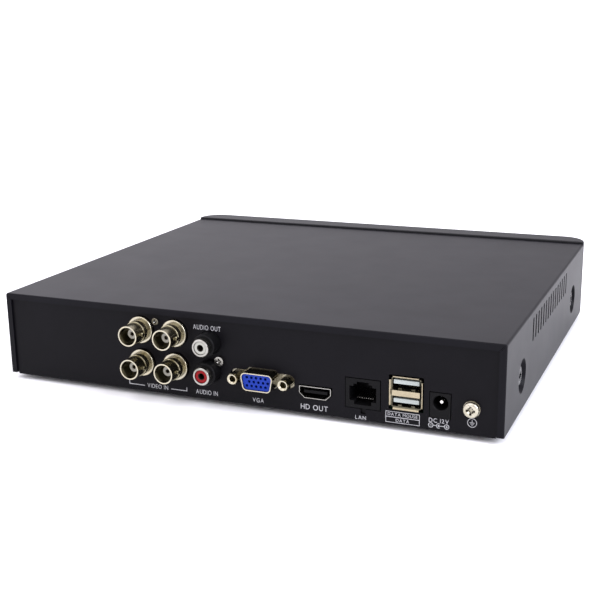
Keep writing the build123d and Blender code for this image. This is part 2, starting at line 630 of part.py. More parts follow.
with BuildPart() as vga_insert:
    with BuildSketch(from_rear(VGA_FACE)):
        with Locations(VGA):
            add(offset(d_outline(*VGA_SHELL), -VGA_WALL - 0.05, mode=Mode.PRIVATE))
    extrude(amount=VGA_FACE - VGA_PLATE + SHEET)
    with BuildSketch(from_rear(VGA_PLATE - SHEET)):
        with Locations((VGA[0], (BOARD_TOP + VGA[1] + 6.2) / 2)):
            Rectangle(30.6, VGA[1] + 6.2 - BOARD_TOP)
    extrude(amount=VGA_PLATE - SHEET - VGA_BACK)
    with BuildSketch(from_rear(VGA_FACE)):
        with Locations(*VGA_PINS):
            Circle(0.68)
    extrude(amount=6.0, mode=Mode.SUBTRACT)
    with BuildSketch(from_rear(VGA_PLATE - SHEET)):
        with Locations(*VGA_SCREWS):
            Circle(VGA_SHANK + 0.1)
    extrude(amount=6.0, mode=Mode.SUBTRACT)
save(vga_insert, "vga_insert")

with BuildPart() as vga_contacts:
    with BuildSketch(from_rear(VGA_FACE - 2.5)):
        with Locations(*VGA_PINS):
            Circle(0.45)
    extrude(amount=3.5)
save(vga_contacts, "vga_contacts")

with BuildPart() as vga_jackscrews:
    with BuildSketch(from_rear(REAR + 4.2)):
        with Locations(*VGA_SCREWS):
            RegularPolygon(radius=2.4, side_count=6, major_radius=False)
    extrude(amount=REAR + 4.2 - VGA_PLATE)
    with BuildSketch(from_rear(REAR + 5.0)):
        with Locations(*VGA_SCREWS):
            Circle(2.35)
    extrude(amount=0.8)
    with BuildSketch(from_rear(VGA_PLATE)):
        with Locations(*VGA_SCREWS):
            Circle(VGA_SHANK)
    extrude(amount=6.0)
    with BuildSketch(from_rear(REAR + 5.0)):
        with Locations(*VGA_SCREWS):
            Circle(JACKSCREW_BORE)
    extrude(amount=5.0, mode=Mode.SUBTRACT)
    bores = vga_jackscrews.edges().filter_by(GeomType.CIRCLE)
    bores = bores.filter_by(lambda rim: abs(rim.radius - JACKSCREW_BORE) < 0.01)
    chamfer(bores.group_by(Axis.Y)[-1], length=0.45)
save(vga_jackscrews, "vga_jackscrews")

# ------------------------------------------------------------------------------------------
# Digital video socket
# ------------------------------------------------------------------------------------------
HD_FRONT = PANEL + 0.6
HD_BACK = HD_FRONT - 12.0
HD_WALL = 0.3
HD_LEG_PITCH = 10.4

with BuildPart() as hd_video_shell:
    with BuildSketch(from_rear(HD_FRONT)):
        with Locations(HD):
            add(hd_outline(0))
            add(hd_outline(-HD_WALL), mode=Mode.SUBTRACT)
    extrude(amount=HD_FRONT - HD_BACK)
    leg_top = HD[1] - HD_HEIGHT / 2 + 0.1
    with Locations((HD[0], HD_BACK + 3.0, (BOARD_TOP + leg_top) / 2)):
        with GridLocations(HD_LEG_PITCH, 1, 2, 1):
            Box(0.5, 2.0, leg_top - BOARD_TOP)
save(hd_video_shell, "hd_video_shell")

with BuildPart() as hd_video_tongue:
    with BuildSketch(from_rear(HD_BACK + 2.5)):
        with Locations(HD):
            add(hd_outline(-HD_WALL - 0.05))
    extrude(amount=2.5)
    with BuildSketch(from_rear(HD_FRONT - 1.0)):
        with Locations((HD[0], HD[1] + 0.1)):
            Rectangle(11.2, 1.3)
    extrude(amount=HD_FRONT - HD_BACK - 3.0)
save(hd_video_tongue, "hd_video_tongue")

# ------------------------------------------------------------------------------------------
# Network socket: black block with a stepped opening and eight sprung contacts
# ------------------------------------------------------------------------------------------
LAN_FRONT = PANEL + 0.2
LAN_BACK = LAN_FRONT - 17.0
LAN_DEPTH = 13.5
LAN_TOP = LAN[1] + LAN_SIZE[1] / 2
# Width and height span of each step of the opening, as distances below the block's top
LAN_STEPS = [(5.6, 1.3, 2.5), (8.6, 2.4, 3.6), (12.4, 3.5, 10.2), (8.0, 10.1, 12.0)]

with BuildPart() as lan_housing:
    with BuildSketch(from_rear(LAN_FRONT)):
        with Locations(LAN):
            Rectangle(*LAN_SIZE)
    extrude(amount=LAN_FRONT - LAN_BACK)
    with BuildSketch(from_rear(LAN_FRONT)):
        for width, high, low in LAN_STEPS:
            with Locations((LAN[0], LAN_TOP - (high + low) / 2)):
                Rectangle(width, low - high)
    extrude(amount=LAN_DEPTH, mode=Mode.SUBTRACT)
    with BuildSketch(Plane.XY.offset(BOARD_TOP)):
        with Locations((LAN[0], (LAN_FRONT + LAN_BACK) / 2)):
            Rectangle(LAN_SIZE[0], LAN_FRONT - LAN_BACK - 3)
    extrude(amount=LAN[1] - LAN_SIZE[1] / 2 - BOARD_TOP)
    with BuildSketch(from_rear(SOCKET_BACK)):
        with Locations((LAN[0] - 0.1, BASE + 4.8)):
            Rectangle(4.4, 4.4)
    extrude(amount=0.9)
save(lan_housing, "lan_housing")

with BuildPart() as lan_contacts:
    for index in range(8):
        with BuildSketch(Plane.YZ.offset(LAN[0] + (index - 3.5) * 1.02 - 0.18)):
            tip_z = LAN_TOP - 9.7
            rear_y = LAN_FRONT - LAN_DEPTH
            wire = [(LAN_FRONT - 3.6, tip_z - 0.35), (rear_y, tip_z + 0.8)]
            wire += [(rear_y, tip_z + 1.15), (LAN_FRONT - 3.6, tip_z)]
            Polygon(*wire, align=None)
        extrude(amount=0.36)
save(lan_contacts, "lan_contacts")

# ------------------------------------------------------------------------------------------
# Twin data port: folded shell with flared lips and a centre bar, two white tongues
# ------------------------------------------------------------------------------------------
USB_FRONT = REAR - 0.3
USB_BACK = USB_FRONT - 16.0
USB_WALL = 0.3
USB_BAR = 2.5
USB_LIP = 0.9
USB_LIP_RUN = 11.6
USB_TONGUES = (USB[1] + 4.9, USB[1] - 3.6)


def lip_outline(half):
    """Section of a flared lip, as y and distance out, on a wall whose outer face is half from centre."""
    return [
        (USB_FRONT - 1.6, half - USB_WALL),
        (USB_FRONT - 1.0, half - USB_WALL),
        (USB_FRONT, half + USB_LIP - 0.35),
        (USB_FRONT, half + USB_LIP),
        (USB_FRONT - 0.4, half + USB_LIP),
        (USB_FRONT - 1.2, half),
        (USB_FRONT - 1.6, half),
    ]


with BuildPart() as usb_shell:
    with BuildSketch(from_rear(USB_FRONT - 1.0)):
        with Locations(USB):
            Rectangle(*USB_BODY)
            Rectangle(USB_BODY[0] - 2 * USB_WALL, USB_BODY[1] - 2 * USB_WALL, mode=Mode.SUBTRACT)
    extrude(amount=USB_FRONT - 1.0 - USB_BACK)
    with BuildSketch(from_rear(USB_FRONT)):
        with Locations(USB):
            Rectangle(USB_BODY[0] - 2 * USB_WALL + 0.02, USB_BAR)
    extrude(amount=USB_FRONT - USB_BACK)
    for side in (-1, 1):
        with BuildSketch(Plane.YZ.offset(USB[0] - USB_LIP_RUN / 2)):
            Polygon(*[(y, USB[1] + side * out) for y, out in lip_outline(USB_BODY[1] / 2)], align=None)
        extrude(amount=USB_LIP_RUN)
        with BuildSketch(Plane.XY.offset(USB[1] - USB_LIP_RUN / 2)):
            Polygon(*[(USB[0] + side * out, y) for y, out in lip_outline(USB_BODY[0] / 2)], align=None)
        extrude(amount=USB_LIP_RUN)
    for seat_z in (USB[1] + USB_BAR / 2, USB[1] - USB_BODY[1] / 2 + USB_WALL):
        for side in (-1, 1):
            with Locations((USB[0] + side * 3.0, USB_FRONT - 3.6, seat_z + 0.3)):
                Box(1.6, 4.4, 0.62)
    with Locations((USB[0], USB_BACK + 0.2, USB[1])):
        Box(USB_BODY[0], 0.4, USB_BODY[1])
save(usb_shell, "usb_shell")

with BuildPart() as usb_tongues:
    for tongue_z in USB_TONGUES:
        with Locations((USB[0], (USB_FRONT - 1.0 + USB_BACK + 0.4) / 2, tongue_z)):
            Box(11.3, USB_FRONT - 1.4 - USB_BACK, 1.8)
save(usb_tongues, "usb_tongues")

with BuildPart() as usb_contacts:
    for tongue_z in USB_TONGUES:
        for index in range(4):
            contact_x = USB[0] + (index - 1.5) * 2.4
            with Locations((contact_x, USB_FRONT - 6.0, tongue_z - 1.05)):
                Box(1.0, 8.0, 0.3)
save(usb_contacts, "usb_contacts")

# ------------------------------------------------------------------------------------------
# Power inlet: black block, round hole, centre pin
# ------------------------------------------------------------------------------------------
DC_FRONT = PANEL + 0.2
DC_BORE = 3.3
DC_BORE_DEPTH = 10.0

with BuildPart() as dc_jack_housing:
    with BuildSketch(from_rear(DC_FRONT)):
        with Locations(DC):
            Rectangle(*DC_SIZE)
    extrude(amount=14.0)
    with BuildSketch(from_rear(DC_FRONT)):
        with Locations(DC_HOLE):
            Circle(DC_BORE)
    extrude(amount=DC_BORE_DEPTH, mode=Mode.SUBTRACT)
    chamfer(dc_jack_housing.edges().filter_by(GeomType.CIRCLE).group_by(Axis.Y)[-1], length=0.25)
    with BuildSketch(Plane.XY.offset(BOARD_TOP)):
        with Locations((DC[0], DC_FRONT - 8.0)):
            Rectangle(DC_SIZE[0], 11.0)
    extrude(amount=DC[1] - DC_SIZE[1] / 2 - BOARD_TOP)
save(dc_jack_housing, "dc_jack_housing")

with BuildPart() as dc_jack_pin:
    with BuildSketch(from_rear(DC_FRONT - 1.6)):
        with Locations(DC_HOLE):
            Circle(1.0)
    extrude(amount=DC_BORE_DEPTH - 1.6)
    fillet(dc_jack_pin.edges().group_by(Axis.Y)[-1], radius=0.6)
save(dc_jack_pin, "dc_jack_pin")

# ------------------------------------------------------------------------------------------
# Earth terminal: pan head screw with its washer, in a nut pressed behind the panel
# ------------------------------------------------------------------------------------------
EARTH_SHANK = 1.95
EARTH_WASHER = 0.8
EARTH_HEAD = 2.2
EARTH_REACH = 8.6
EARTH_NUT = 3.4

with BuildPart() as earth_washer:
    with BuildSketch(from_rear(PANEL + EARTH_WASHER)):
        with Locations(EARTH):
            Circle(3.7)
            Circle(EARTH_SHANK + RUN_FIT, mode=Mode.SUBTRACT)
    extrude(amount=EARTH_WASHER)
save(earth_washer, "earth_washer")

with BuildPart() as earth_screw:
    with BuildSketch(from_rear(PANEL + EARTH_WASHER + EARTH_HEAD)):
        with Locations(EARTH):
            Circle(3.5)
    extrude(amount=EARTH_HEAD)
    fillet(earth_screw.edges().group_by(Axis.Y)[-1], radius=1.1)
    with BuildSketch(from_rear(PANEL + EARTH_WASHER)):
        with Locations(EARTH):
            Circle(EARTH_SHANK)
    extrude(amount=EARTH_REACH)
    with Locations((EARTH[0], PANEL + EARTH_WASHER + EARTH_HEAD, EARTH[1])):
        Box(4.0, 2.6, 1.0, mode=Mode.SUBTRACT)
        Box(1.0, 2.6, 4.0, mode=Mode.SUBTRACT)
    with Locations((EARTH[0], PANEL + EARTH_WASHER + EARTH_HEAD - 0.6, EARTH[1])):
        Cone(1.5, 0.5, 1.2, rotation=(90, 0, 0), mode=Mode.SUBTRACT)
save(earth_screw, "earth_screw")

with BuildPart() as earth_nut:
    with BuildSketch(from_rear(PANEL_BACK)):
        with Locations(EARTH):
            RegularPolygon(radius=3.5, side_count=6, major_radius=False)
            Circle(EARTH_SHANK + RUN_FIT, mode=Mode.SUBTRACT)
    extrude(amount=EARTH_NUT)
save(earth_nut, "earth_nut")

# ------------------------------------------------------------------------------------------
# Components on the main board
# ------------------------------------------------------------------------------------------
PROCESSOR = (-22.0, 57.0)
PROCESSOR_THICK = 1.8
SINK_BASE = 2.0
SINK_HEIGHT = 10.0

with BuildPart() as processor:
    with BuildSketch(Plane.XY.offset(BOARD_TOP)):
        with Locations(PROCESSOR):
            Rectangle(17, 17)
    extrude(amount=PROCESSOR_THICK)
    chamfer(processor.edges().group_by(Axis.Z)[-1], length=0.3)
save(processor, "processor")

with BuildPart() as heatsink:
    with BuildSketch(Plane.XY.offset(BOARD_TOP + PROCESSOR_THICK)):
        with Locations(PROCESSOR):
            Rectangle(28, 28)
    extrude(amount=SINK_BASE)
    with BuildSketch(Plane.XY.offset(BOARD_TOP + PROCESSOR_THICK + SINK_BASE)):
        with Locations(PROCESSOR):
            with GridLocations(3.3, 1, 9, 1):
                Rectangle(1.1, 28)
    extrude(amount=SINK_HEIGHT - SINK_BASE)
save(heatsink, "heatsink")

with BuildPart() as memory_chips:
    with BuildSketch(Plane.XY.offset(BOARD_TOP)):
        with Locations((8, 48), (8, 60), (-22, 34)):
            Rectangle(13, 9)
    extrude(amount=1.1)
    chamfer(memory_chips.edges().group_by(Axis.Z)[-1], length=0.2)
save(memory_chips, "memory_chips")

with BuildPart() as capacitors:
    with BuildSketch(Plane.XY.offset(BOARD_TOP)):
        with Locations((-96, 78), (-85, 78), (-96, 67), (-85, 67)):
            Circle(4)
        with Locations((-50, 60), (-41, 60)):
            Circle(3.15)
    extrude(amount=11.5)
    fillet(capacitors.edges().group_by(Axis.Z)[-1], radius=0.5)
save(capacitors, "capacitors")

with BuildPart() as inductors:
    with BuildSketch(Plane.XY.offset(BOARD_TOP)):
        with Locations((-96, 56), (-84, 56), (-72, 60)):
            RectangleRounded(7.5, 7.5, 1.2)
    extrude(amount=4.2)
    fillet(inductors.edges().group_by(Axis.Z)[-1], radius=0.5)
save(inductors, "inductors")

CELL = (44.0, 34.0)
CELL_RADIUS = 10.0

with BuildPart() as cell_holder:
    with BuildSketch(Plane.XY.offset(BOARD_TOP)):
        with Locations(CELL):
            Circle(CELL_RADIUS + 1.6)
            Rectangle(27, 8)
    extrude(amount=3.6)
    with BuildSketch(Plane.XY.offset(BOARD_TOP + 1.0)):
        with Locations(CELL):
            Circle(CELL_RADIUS + 0.15)
    extrude(amount=4.0, mode=Mode.SUBTRACT)
save(cell_holder, "cell_holder")

with BuildPart() as coin_cell:
    with BuildSketch(Plane.XY.offset(BOARD_TOP + 1.0)):
        with Locations(CELL):
            Circle(CELL_RADIUS)
    extrude(amount=3.2)
    chamfer(coin_cell.edges().group_by(Axis.Z)[-1], length=0.3)
save(coin_cell, "coin_cell")

with BuildPart() as buzzer:
    with BuildSketch(Plane.XY.offset(BOARD_TOP)):
        with Locations((20, 30)):
            Circle(6)
    extrude(amount=8.5)
    fillet(buzzer.edges().group_by(Axis.Z)[-1], radius=0.6)
    with BuildSketch(Plane.XY.offset(BOARD_TOP + 8.5)):
        with Locations((20, 30)):
            Circle(1.2)
    extrude(amount=-2.0, mode=Mode.SUBTRACT)
save(buzzer, "buzzer")

# Sockets along the board's front edge: disk data, disk power and front panel
DATA_X = -75.0
POWER_X = -90.0
PANEL_LEAD_X = -103.5
DISK_DATA_Y = -30.0
DISK_POWER_Y = -62.0
LEAD_Z = DISK_BOTTOM + 6.2
SOCKET_FACE = BOARD_FRONT + 1.0

with BuildPart() as board_headers:
    for header_x, width in ((DATA_X, 11.5), (POWER_X, 12.0), (PANEL_LEAD_X, 8.0)):
        with BuildSketch(Plane.XY.offset(BOARD_TOP)):
            with Locations((header_x, SOCKET_FACE + 4.5)):
                Rectangle(width, 9.0)
        extrude(amount=6.5)
save(board_headers, "board_headers")

# ------------------------------------------------------------------------------------------
# Indicator board behind the window
# ------------------------------------------------------------------------------------------
with BuildPart() as led_board:
    with BuildSketch(from_rear(LED_BOARD_FRONT + BOARD_THICK)):
        with Locations((WINDOW_X, WINDOW_Z)):
            RectangleRounded(86, 17, 1.0)
        with Locations(*LED_BOARD_PEGS):
            Circle(1.25, mode=Mode.SUBTRACT)
    extrude(amount=BOARD_THICK)
save(led_board, "led_board")

with BuildPart() as status_leds:
    with BuildSketch(from_rear(LED_BOARD_FRONT)):
        with Locations((WINDOW_X, WINDOW_Z)):
            with GridLocations(12, 1, 3, 1):
                Circle(1.9)
    extrude(amount=0.8)
    with BuildSketch(from_rear(LED_BOARD_FRONT - 0.8)):
        with Locations((WINDOW_X, WINDOW_Z)):
            with GridLocations(12, 1, 3, 1):
                Circle(1.5)
    extrude(amount=1.9)
    fillet(status_leds.edges().group_by(Axis.Y)[0], radius=1.2)
save(status_leds, "status_leds")

with BuildPart() as ir_receiver:
    with BuildSketch(from_rear(LED_BOARD_FRONT)):
        with Locations((WINDOW_X + 26, WINDOW_Z)):
            Rectangle(5.5, 6.5)
    extrude(amount=1.2)
    with BuildSketch(from_rear(LED_BOARD_FRONT - 1.2)):
        with Locations((WINDOW_X + 26, WINDOW_Z)):
            Circle(1.9)
    extrude(amount=1.5)
    fillet(ir_receiver.edges().group_by(Axis.Y)[0], radius=1.1)
save(ir_receiver, "ir_receiver")

# ------------------------------------------------------------------------------------------
# Hard disk
# ------------------------------------------------------------------------------------------
REST_TURN = degrees(atan2(SPINDLE[1] - PIVOT[1], SPINDLE[0] - PIVOT[0]))
SPAN = ((SPINDLE[0] - PIVOT[0]) ** 2 + (SPINDLE[1] - PIVOT[1]) ** 2) ** 0.5
PARK_COSINE = (SPAN**2 + ARM_LENGTH**2 - PARK_RADIUS**2) / (2 * SPAN * ARM_LENGTH)
REST_TURN += degrees(atan2((1 - PARK_COSINE**2) ** 0.5, PARK_COSINE))
POST_RADIUS = 3.0
LID_Z = DISK_TOP - LID_THICK
CONNECTOR_Y = (DISK_DATA_Y + DISK_POWER_Y) / 2 - 2.5
CONNECTOR_WIDTH = 53.0
CONNECTOR_DEPTH = 6.5
LID_FIXINGS = [
    (DISK_LEFT + 4.5, DISK_FRONT + 4.5),
    (DISK_LEFT + 4.5, DISK_FRONT + DISK_DEPTH - 4.5),
    (DISK_LEFT + DISK_LENGTH - 4.5, DISK_FRONT + 4.5),
    (DISK_LEFT + DISK_LENGTH - 4.5, DISK_FRONT + DISK_DEPTH - 4.5),
]


def turned(angle, z):
    """Plane on the arm pivot at height z, with its x along the given angle."""
    direction = (cos(radians(angle)), sin(radians(angle)), 0)
    return Plane(origin=(PIVOT[0], PIVOT[1], z), x_dir=direction, z_dir=(0, 0, 1))


with BuildPart() as disk_base:
    with BuildSketch(Plane.XY.offset(DISK_BOTTOM)):
        with Locations(DISK_CENTRE):
            RectangleRounded(DISK_LENGTH, DISK_DEPTH, 3)
    extrude(amount=LID_Z - DISK_BOTTOM)
    with BuildSketch(Plane.XY.offset(CAVITY_FLOOR)):
        with Locations(SPINDLE):
            Circle(PLATTER_RADIUS + 1.1)
        with Locations((-7, -45.5)):
            RectangleRounded(54, 94, 6)
    extrude(amount=LID_Z - CAVITY_FLOOR, mode=Mode.SUBTRACT)
    with BuildSketch(Plane.XY.offset(CAVITY_FLOOR)):
        with Locations(SPINDLE, PIVOT):
            Circle(POST_RADIUS)
    extrude(amount=12.0)
    with BuildSketch(Plane.XY.offset(DISK_BOTTOM)):
        with Locations((10, DISK_CENTRE[1])):
            RectangleRounded(102, 83.5, 3)
    extrude(amount=2.0, mode=Mode.SUBTRACT)
    with BuildSketch(Plane.XY.offset(DISK_BOTTOM)):
        with Locations((DISK_LEFT + CONNECTOR_DEPTH / 2, CONNECTOR_Y)):
            Rectangle(CONNECTOR_DEPTH + 0.3, CONNECTOR_WIDTH + 0.6)
    extrude(amount=6.2, mode=Mode.SUBTRACT)
    with BuildSketch(Plane.XY.offset(DISK_BOTTOM)):
        with Locations(*DISK_HOLES):
            Circle(1.7)
    extrude(amount=5.0, mode=Mode.SUBTRACT)
    with BuildSketch(Plane.XY.offset(LID_Z)):
        with Locations(*LID_FIXINGS):
            Circle(1.05)
    extrude(amount=-6.0, mode=Mode.SUBTRACT)
save(disk_base, "disk_base")

with BuildPart() as disk_lid:
    with BuildSketch(Plane.XY.offset(LID_Z)):
        with Locations(DISK_CENTRE):
            RectangleRounded(DISK_LENGTH, DISK_DEPTH, 3)
        with Locations(*LID_FIXINGS):
            Circle(1.2, mode=Mode.SUBTRACT)
    extrude(amount=LID_THICK)
save(disk_lid, "disk_lid")

with BuildPart() as disk_lid_screws:
    with BuildSketch(Plane.XY.offset(DISK_TOP)):
        with Locations(*LID_FIXINGS):
            Circle(2.0)
            RegularPolygon(radius=0.9, side_count=6, mode=Mode.SUBTRACT)
    extrude(amount=0.9)
    with BuildSketch(Plane.XY.offset(DISK_TOP)):
        with Locations(*LID_FIXINGS):
            Circle(1.0)
    extrude(amount=-5.5)
save(disk_lid_screws, "disk_lid_screws")

with BuildPart() as disk_mount_screws:
    with BuildSketch(Plane.XY.offset(BASE + EMBOSS)):
        with Locations(*DISK_HOLES):
            Circle(3.8)
    extrude(amount=-1.2)
    with BuildSketch(Plane.XY.offset(BASE + EMBOSS)):
        with Locations(*DISK_HOLES):
            Circle(1.65)
    extrude(amount=SHEET + 4.6)
    for x, y in DISK_HOLES:
        with Locations((x, y, BASE + EMBOSS - 1.2)):
            Box(3.4, 0.8, 1.4, mode=Mode.SUBTRACT)
            Box(0.8, 3.4, 1.4, mode=Mode.SUBTRACT)
save(disk_mount_screws, "disk_mount_screws")

HUB_RADIUS = 12.5
HUB_BOTTOM = CAVITY_FLOOR + 0.6
HUB_TOP = PLATTERS_Z[1] + PLATTER_THICK + 2.4

with BuildPart() as spindle_hub:
    with BuildSketch(Plane.XY.offset(HUB_BOTTOM)):
        with Locations(SPINDLE):
            Circle(15.0)
    extrude(amount=PLATTERS_Z[0] - HUB_BOTTOM)
    with BuildSketch(Plane.XY.offset(HUB_BOTTOM)):
        with Locations(SPINDLE):
            Circle(HUB_RADIUS)
    extrude(amount=PLATTERS_Z[1] + PLATTER_THICK - HUB_BOTTOM)
    with BuildSketch(Plane.XY.offset(HUB_BOTTOM)):
        with Locations(SPINDLE):
            Circle(POST_RADIUS + RUN_FIT)
    extrude(amount=20.0, mode=Mode.SUBTRACT)
save(spindle_hub, "spindle_hub")

with BuildPart() as platters:
    for platter_z in PLATTERS_Z:
        with BuildSketch(Plane.XY.offset(platter_z)):
            with Locations(SPINDLE):
                Circle(PLATTER_RADIUS)
                Circle(HUB_RADIUS + 0.02, mode=Mode.SUBTRACT)
        extrude(amount=PLATTER_THICK)
save(platters, "platters")

with BuildPart() as platter_clamp:
    with BuildSketch(Plane.XY.offset(PLATTERS_Z[1] + PLATTER_THICK)):
        with Locations(SPINDLE):
            Circle(15.0)
            Circle(POST_RADIUS + 0.6, mode=Mode.SUBTRACT)
    extrude(amount=1.4)
    with BuildSketch(Plane.XY.offset(PLATTERS_Z[0] + PLATTER_THICK)):
        with Locations(SPINDLE):
            Circle(15.0)
            Circle(HUB_RADIUS + 0.02, mode=Mode.SUBTRACT)
    extrude(amount=PLATTERS_Z[1] - PLATTERS_Z[0] - PLATTER_THICK)
    with BuildSketch(Plane.XY.offset(PLATTERS_Z[1] + PLATTER_THICK + 1.4)):
        with Locations(SPINDLE):
            with PolarLocations(9.0, 6):
                Circle(1.6)
    extrude(amount=0.8)
save(platter_clamp, "platter_clamp")

COIL_THICK = 1.8
COIL_Z = DISK_BOTTOM + 13.2
COIL_OUT = 24.5
ARM_THICK = 1.15
ARM_LEVELS = [
    PLATTERS_Z[0] - 2.0,
    PLATTERS_Z[0] + PLATTER_THICK + 0.79,
    PLATTERS_Z[1] + PLATTER_THICK + 0.79,
]

with BuildPart() as head_arm:
    with BuildSketch(turned(REST_TURN, ARM_LEVELS[0])):
        Circle(8.6)
    extrude(amount=ARM_LEVELS[2] + ARM_THICK - ARM_LEVELS[0])
    for level in ARM_LEVELS:
        with BuildSketch(turned(REST_TURN, level)):
            Polygon((0, -6.5), (36, -3), (36, 3), (0, 6.5), align=None)
        extrude(amount=ARM_THICK)
    for head_side, surface in (
        (-1, PLATTERS_Z[0]),
        (1, PLATTERS_Z[0] + PLATTER_THICK),
        (-1, PLATTERS_Z[1]),
        (1, PLATTERS_Z[1] + PLATTER_THICK),
    ):
        low_z = surface + head_side * 0.5 if head_side > 0 else surface - 0.85
        with BuildSketch(turned(REST_TURN, low_z)):
            beam = [(30, -2.6), (ARM_LENGTH + 1, -0.7), (ARM_LENGTH + 1, 0.7), (30, 2.6)]
            Polygon(*beam, align=None)
        extrude(amount=0.35)
        slider_z = surface + 0.2 if head_side > 0 else surface - 0.55
        with BuildSketch(turned(REST_TURN, slider_z)):
            with Locations((ARM_LENGTH, 0)):
                Rectangle(1.3, 1.0)
        extrude(amount=0.35)
    with BuildSketch(turned(REST_TURN + 180, COIL_Z)):
        wing = COIL_OUT * sin(radians(15))
        Polygon((0, -7), (COIL_OUT - 1, -wing), (COIL_OUT - 1, wing), (0, 7), align=None)
    extrude(amount=COIL_THICK)
    with BuildSketch(turned(REST_TURN, ARM_LEVELS[0])):
        Circle(POST_RADIUS + RUN_FIT)
    extrude(amount=20.0, mode=Mode.SUBTRACT)
save(head_arm, "head_arm")

YOKE_THICK = 2.6
YOKE_GAP = 1.2
YOKE_RADIUS = 28.0

with BuildPart() as magnet_yoke:
    for yoke_z in (COIL_Z - YOKE_GAP - YOKE_THICK, COIL_Z + COIL_THICK + YOKE_GAP):
        with BuildSketch(Plane.XY.offset(yoke_z)):
            with BuildLine():
                outer = CenterArc(PIVOT, YOKE_RADIUS, 198, 74)
                inner = CenterArc(PIVOT, 11.0, 198, 74)
                Line(outer @ 0, inner @ 0)
                Line(outer @ 1, inner @ 1)
            make_face()
        extrude(amount=YOKE_THICK)
    with BuildSketch(Plane.XY.offset(COIL_Z - YOKE_GAP)):
        with Locations(PIVOT):
            with PolarLocations(26.7, 2, start_angle=200.5, angular_range=69, endpoint=True):
                Circle(1.2)
    extrude(amount=COIL_THICK + 2 * YOKE_GAP)
    with BuildSketch(Plane.XY.offset(CAVITY_FLOOR)):
        with Locations(PIVOT):
            with PolarLocations(22, 2, start_angle=205, angular_range=60, endpoint=True):
                Circle(2.0)
    extrude(amount=COIL_Z - YOKE_GAP - YOKE_THICK - CAVITY_FLOOR)
save(magnet_yoke, "magnet_yoke")

with BuildPart() as disk_board:
    with BuildSketch(Plane.XY.offset(DISK_BOTTOM + 0.6)):
        with Locations((10, DISK_CENTRE[1])):
            RectangleRounded(96, 78, 2)
    extrude(amount=1.4)
save(disk_board, "disk_board")

with BuildPart() as disk_connector:
    with BuildSketch(Plane.XY.offset(DISK_BOTTOM + 2.0)):
        with Locations((DISK_LEFT + CONNECTOR_DEPTH / 2, CONNECTOR_Y)):
            Rectangle(CONNECTOR_DEPTH, CONNECTOR_WIDTH)
    extrude(amount=4.0)
save(disk_connector, "disk_connector")

# ------------------------------------------------------------------------------------------
# Internal leads, each with its plugs: disk data, disk power, front panel
# ------------------------------------------------------------------------------------------
PLUG_LENGTH = 13.0


def lead(route, bends, radius):
    """A round lead along straight runs joined by tangent arcs."""
    with BuildPart() as tube:
        with BuildLine() as path:
            FilletPolyline(*route, radius=bends)
        with BuildSketch(path.line ^ 0):
            Circle(radius)
        sweep(path=path.line)
    return tube.part


plug_end_x = DISK_LEFT - PLUG_LENGTH
board_plug_y = SOCKET_FACE - PLUG_LENGTH
for label, disk_y, board_x, disk_width, board_width, bend, radius in (
    ("disk_data_lead", DISK_DATA_Y, DATA_X, 14.0, 11.0, 15.0, 2.2),
    ("disk_power_lead", DISK_POWER_Y, POWER_X, 23.0, 12.0, 25.0, 2.4),
):
    tube = lead(
        [(plug_end_x, disk_y, LEAD_Z), (board_x, disk_y, LEAD_Z), (board_x, board_plug_y, LEAD_Z)],
        bend,
        radius,
    )
    with BuildPart() as disk_lead:
        add(tube)
        with Locations((DISK_LEFT - PLUG_LENGTH / 2, disk_y, LEAD_Z)):
            Box(PLUG_LENGTH, disk_width, 6.6)
        with Locations((board_x, SOCKET_FACE - PLUG_LENGTH / 2, LEAD_Z + 0.6)):
            Box(board_width, PLUG_LENGTH, 6.6)
    save(disk_lead, label)

front_plug_y = LED_BOARD_FRONT + BOARD_THICK
FRONT_ROUTE = [
    (PANEL_LEAD_X, front_plug_y + 5.0, CABLE_HOLE[1]),
    (PANEL_LEAD_X, -75.0, CABLE_HOLE[1]),
    (PANEL_LEAD_X, -35.0, LEAD_Z + 0.6),
    (PANEL_LEAD_X, SOCKET_FACE - 7.0, LEAD_Z + 0.6),
]
front_tube = lead(FRONT_ROUTE, 40.0, 1.7)
with BuildPart() as front_lead:
    add(front_tube)
    with Locations((PANEL_LEAD_X, front_plug_y + 2.5, CABLE_HOLE[1])):
        Box(8.0, 5.0, 6.0)
    with Locations((PANEL_LEAD_X, SOCKET_FACE - 3.5, LEAD_Z + 0.6)):
        Box(7.6, 7.0, 5.8)
save(front_lead, "front_lead")
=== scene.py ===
from math import copysign, cos, pi, radians, sin

import bmesh
import bpy
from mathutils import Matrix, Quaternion, Vector


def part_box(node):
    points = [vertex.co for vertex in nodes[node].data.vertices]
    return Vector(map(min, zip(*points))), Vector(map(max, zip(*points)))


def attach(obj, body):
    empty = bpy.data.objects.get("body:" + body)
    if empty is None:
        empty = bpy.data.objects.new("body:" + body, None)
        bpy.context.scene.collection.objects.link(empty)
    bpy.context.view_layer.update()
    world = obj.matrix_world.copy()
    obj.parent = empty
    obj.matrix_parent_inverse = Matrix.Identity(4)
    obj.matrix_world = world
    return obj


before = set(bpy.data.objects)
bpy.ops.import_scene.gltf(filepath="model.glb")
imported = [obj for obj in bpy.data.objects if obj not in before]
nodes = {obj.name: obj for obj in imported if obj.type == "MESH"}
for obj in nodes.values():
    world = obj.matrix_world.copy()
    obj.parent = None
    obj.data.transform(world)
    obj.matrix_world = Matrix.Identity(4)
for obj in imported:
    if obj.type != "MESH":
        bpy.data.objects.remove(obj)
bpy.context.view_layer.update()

# ------------------------------------------------------------------------------------------
# A four-channel video recorder seen from behind. Metres throughout; MM turns drawing sizes
# into metres. +Y is the rear of the recorder, -Y its front bezel, +Z is up.
# ------------------------------------------------------------------------------------------
MM = 0.001


def middle(node):
    """Centre of a CAD node's box."""
    low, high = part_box(node)
    return (low + high) / 2


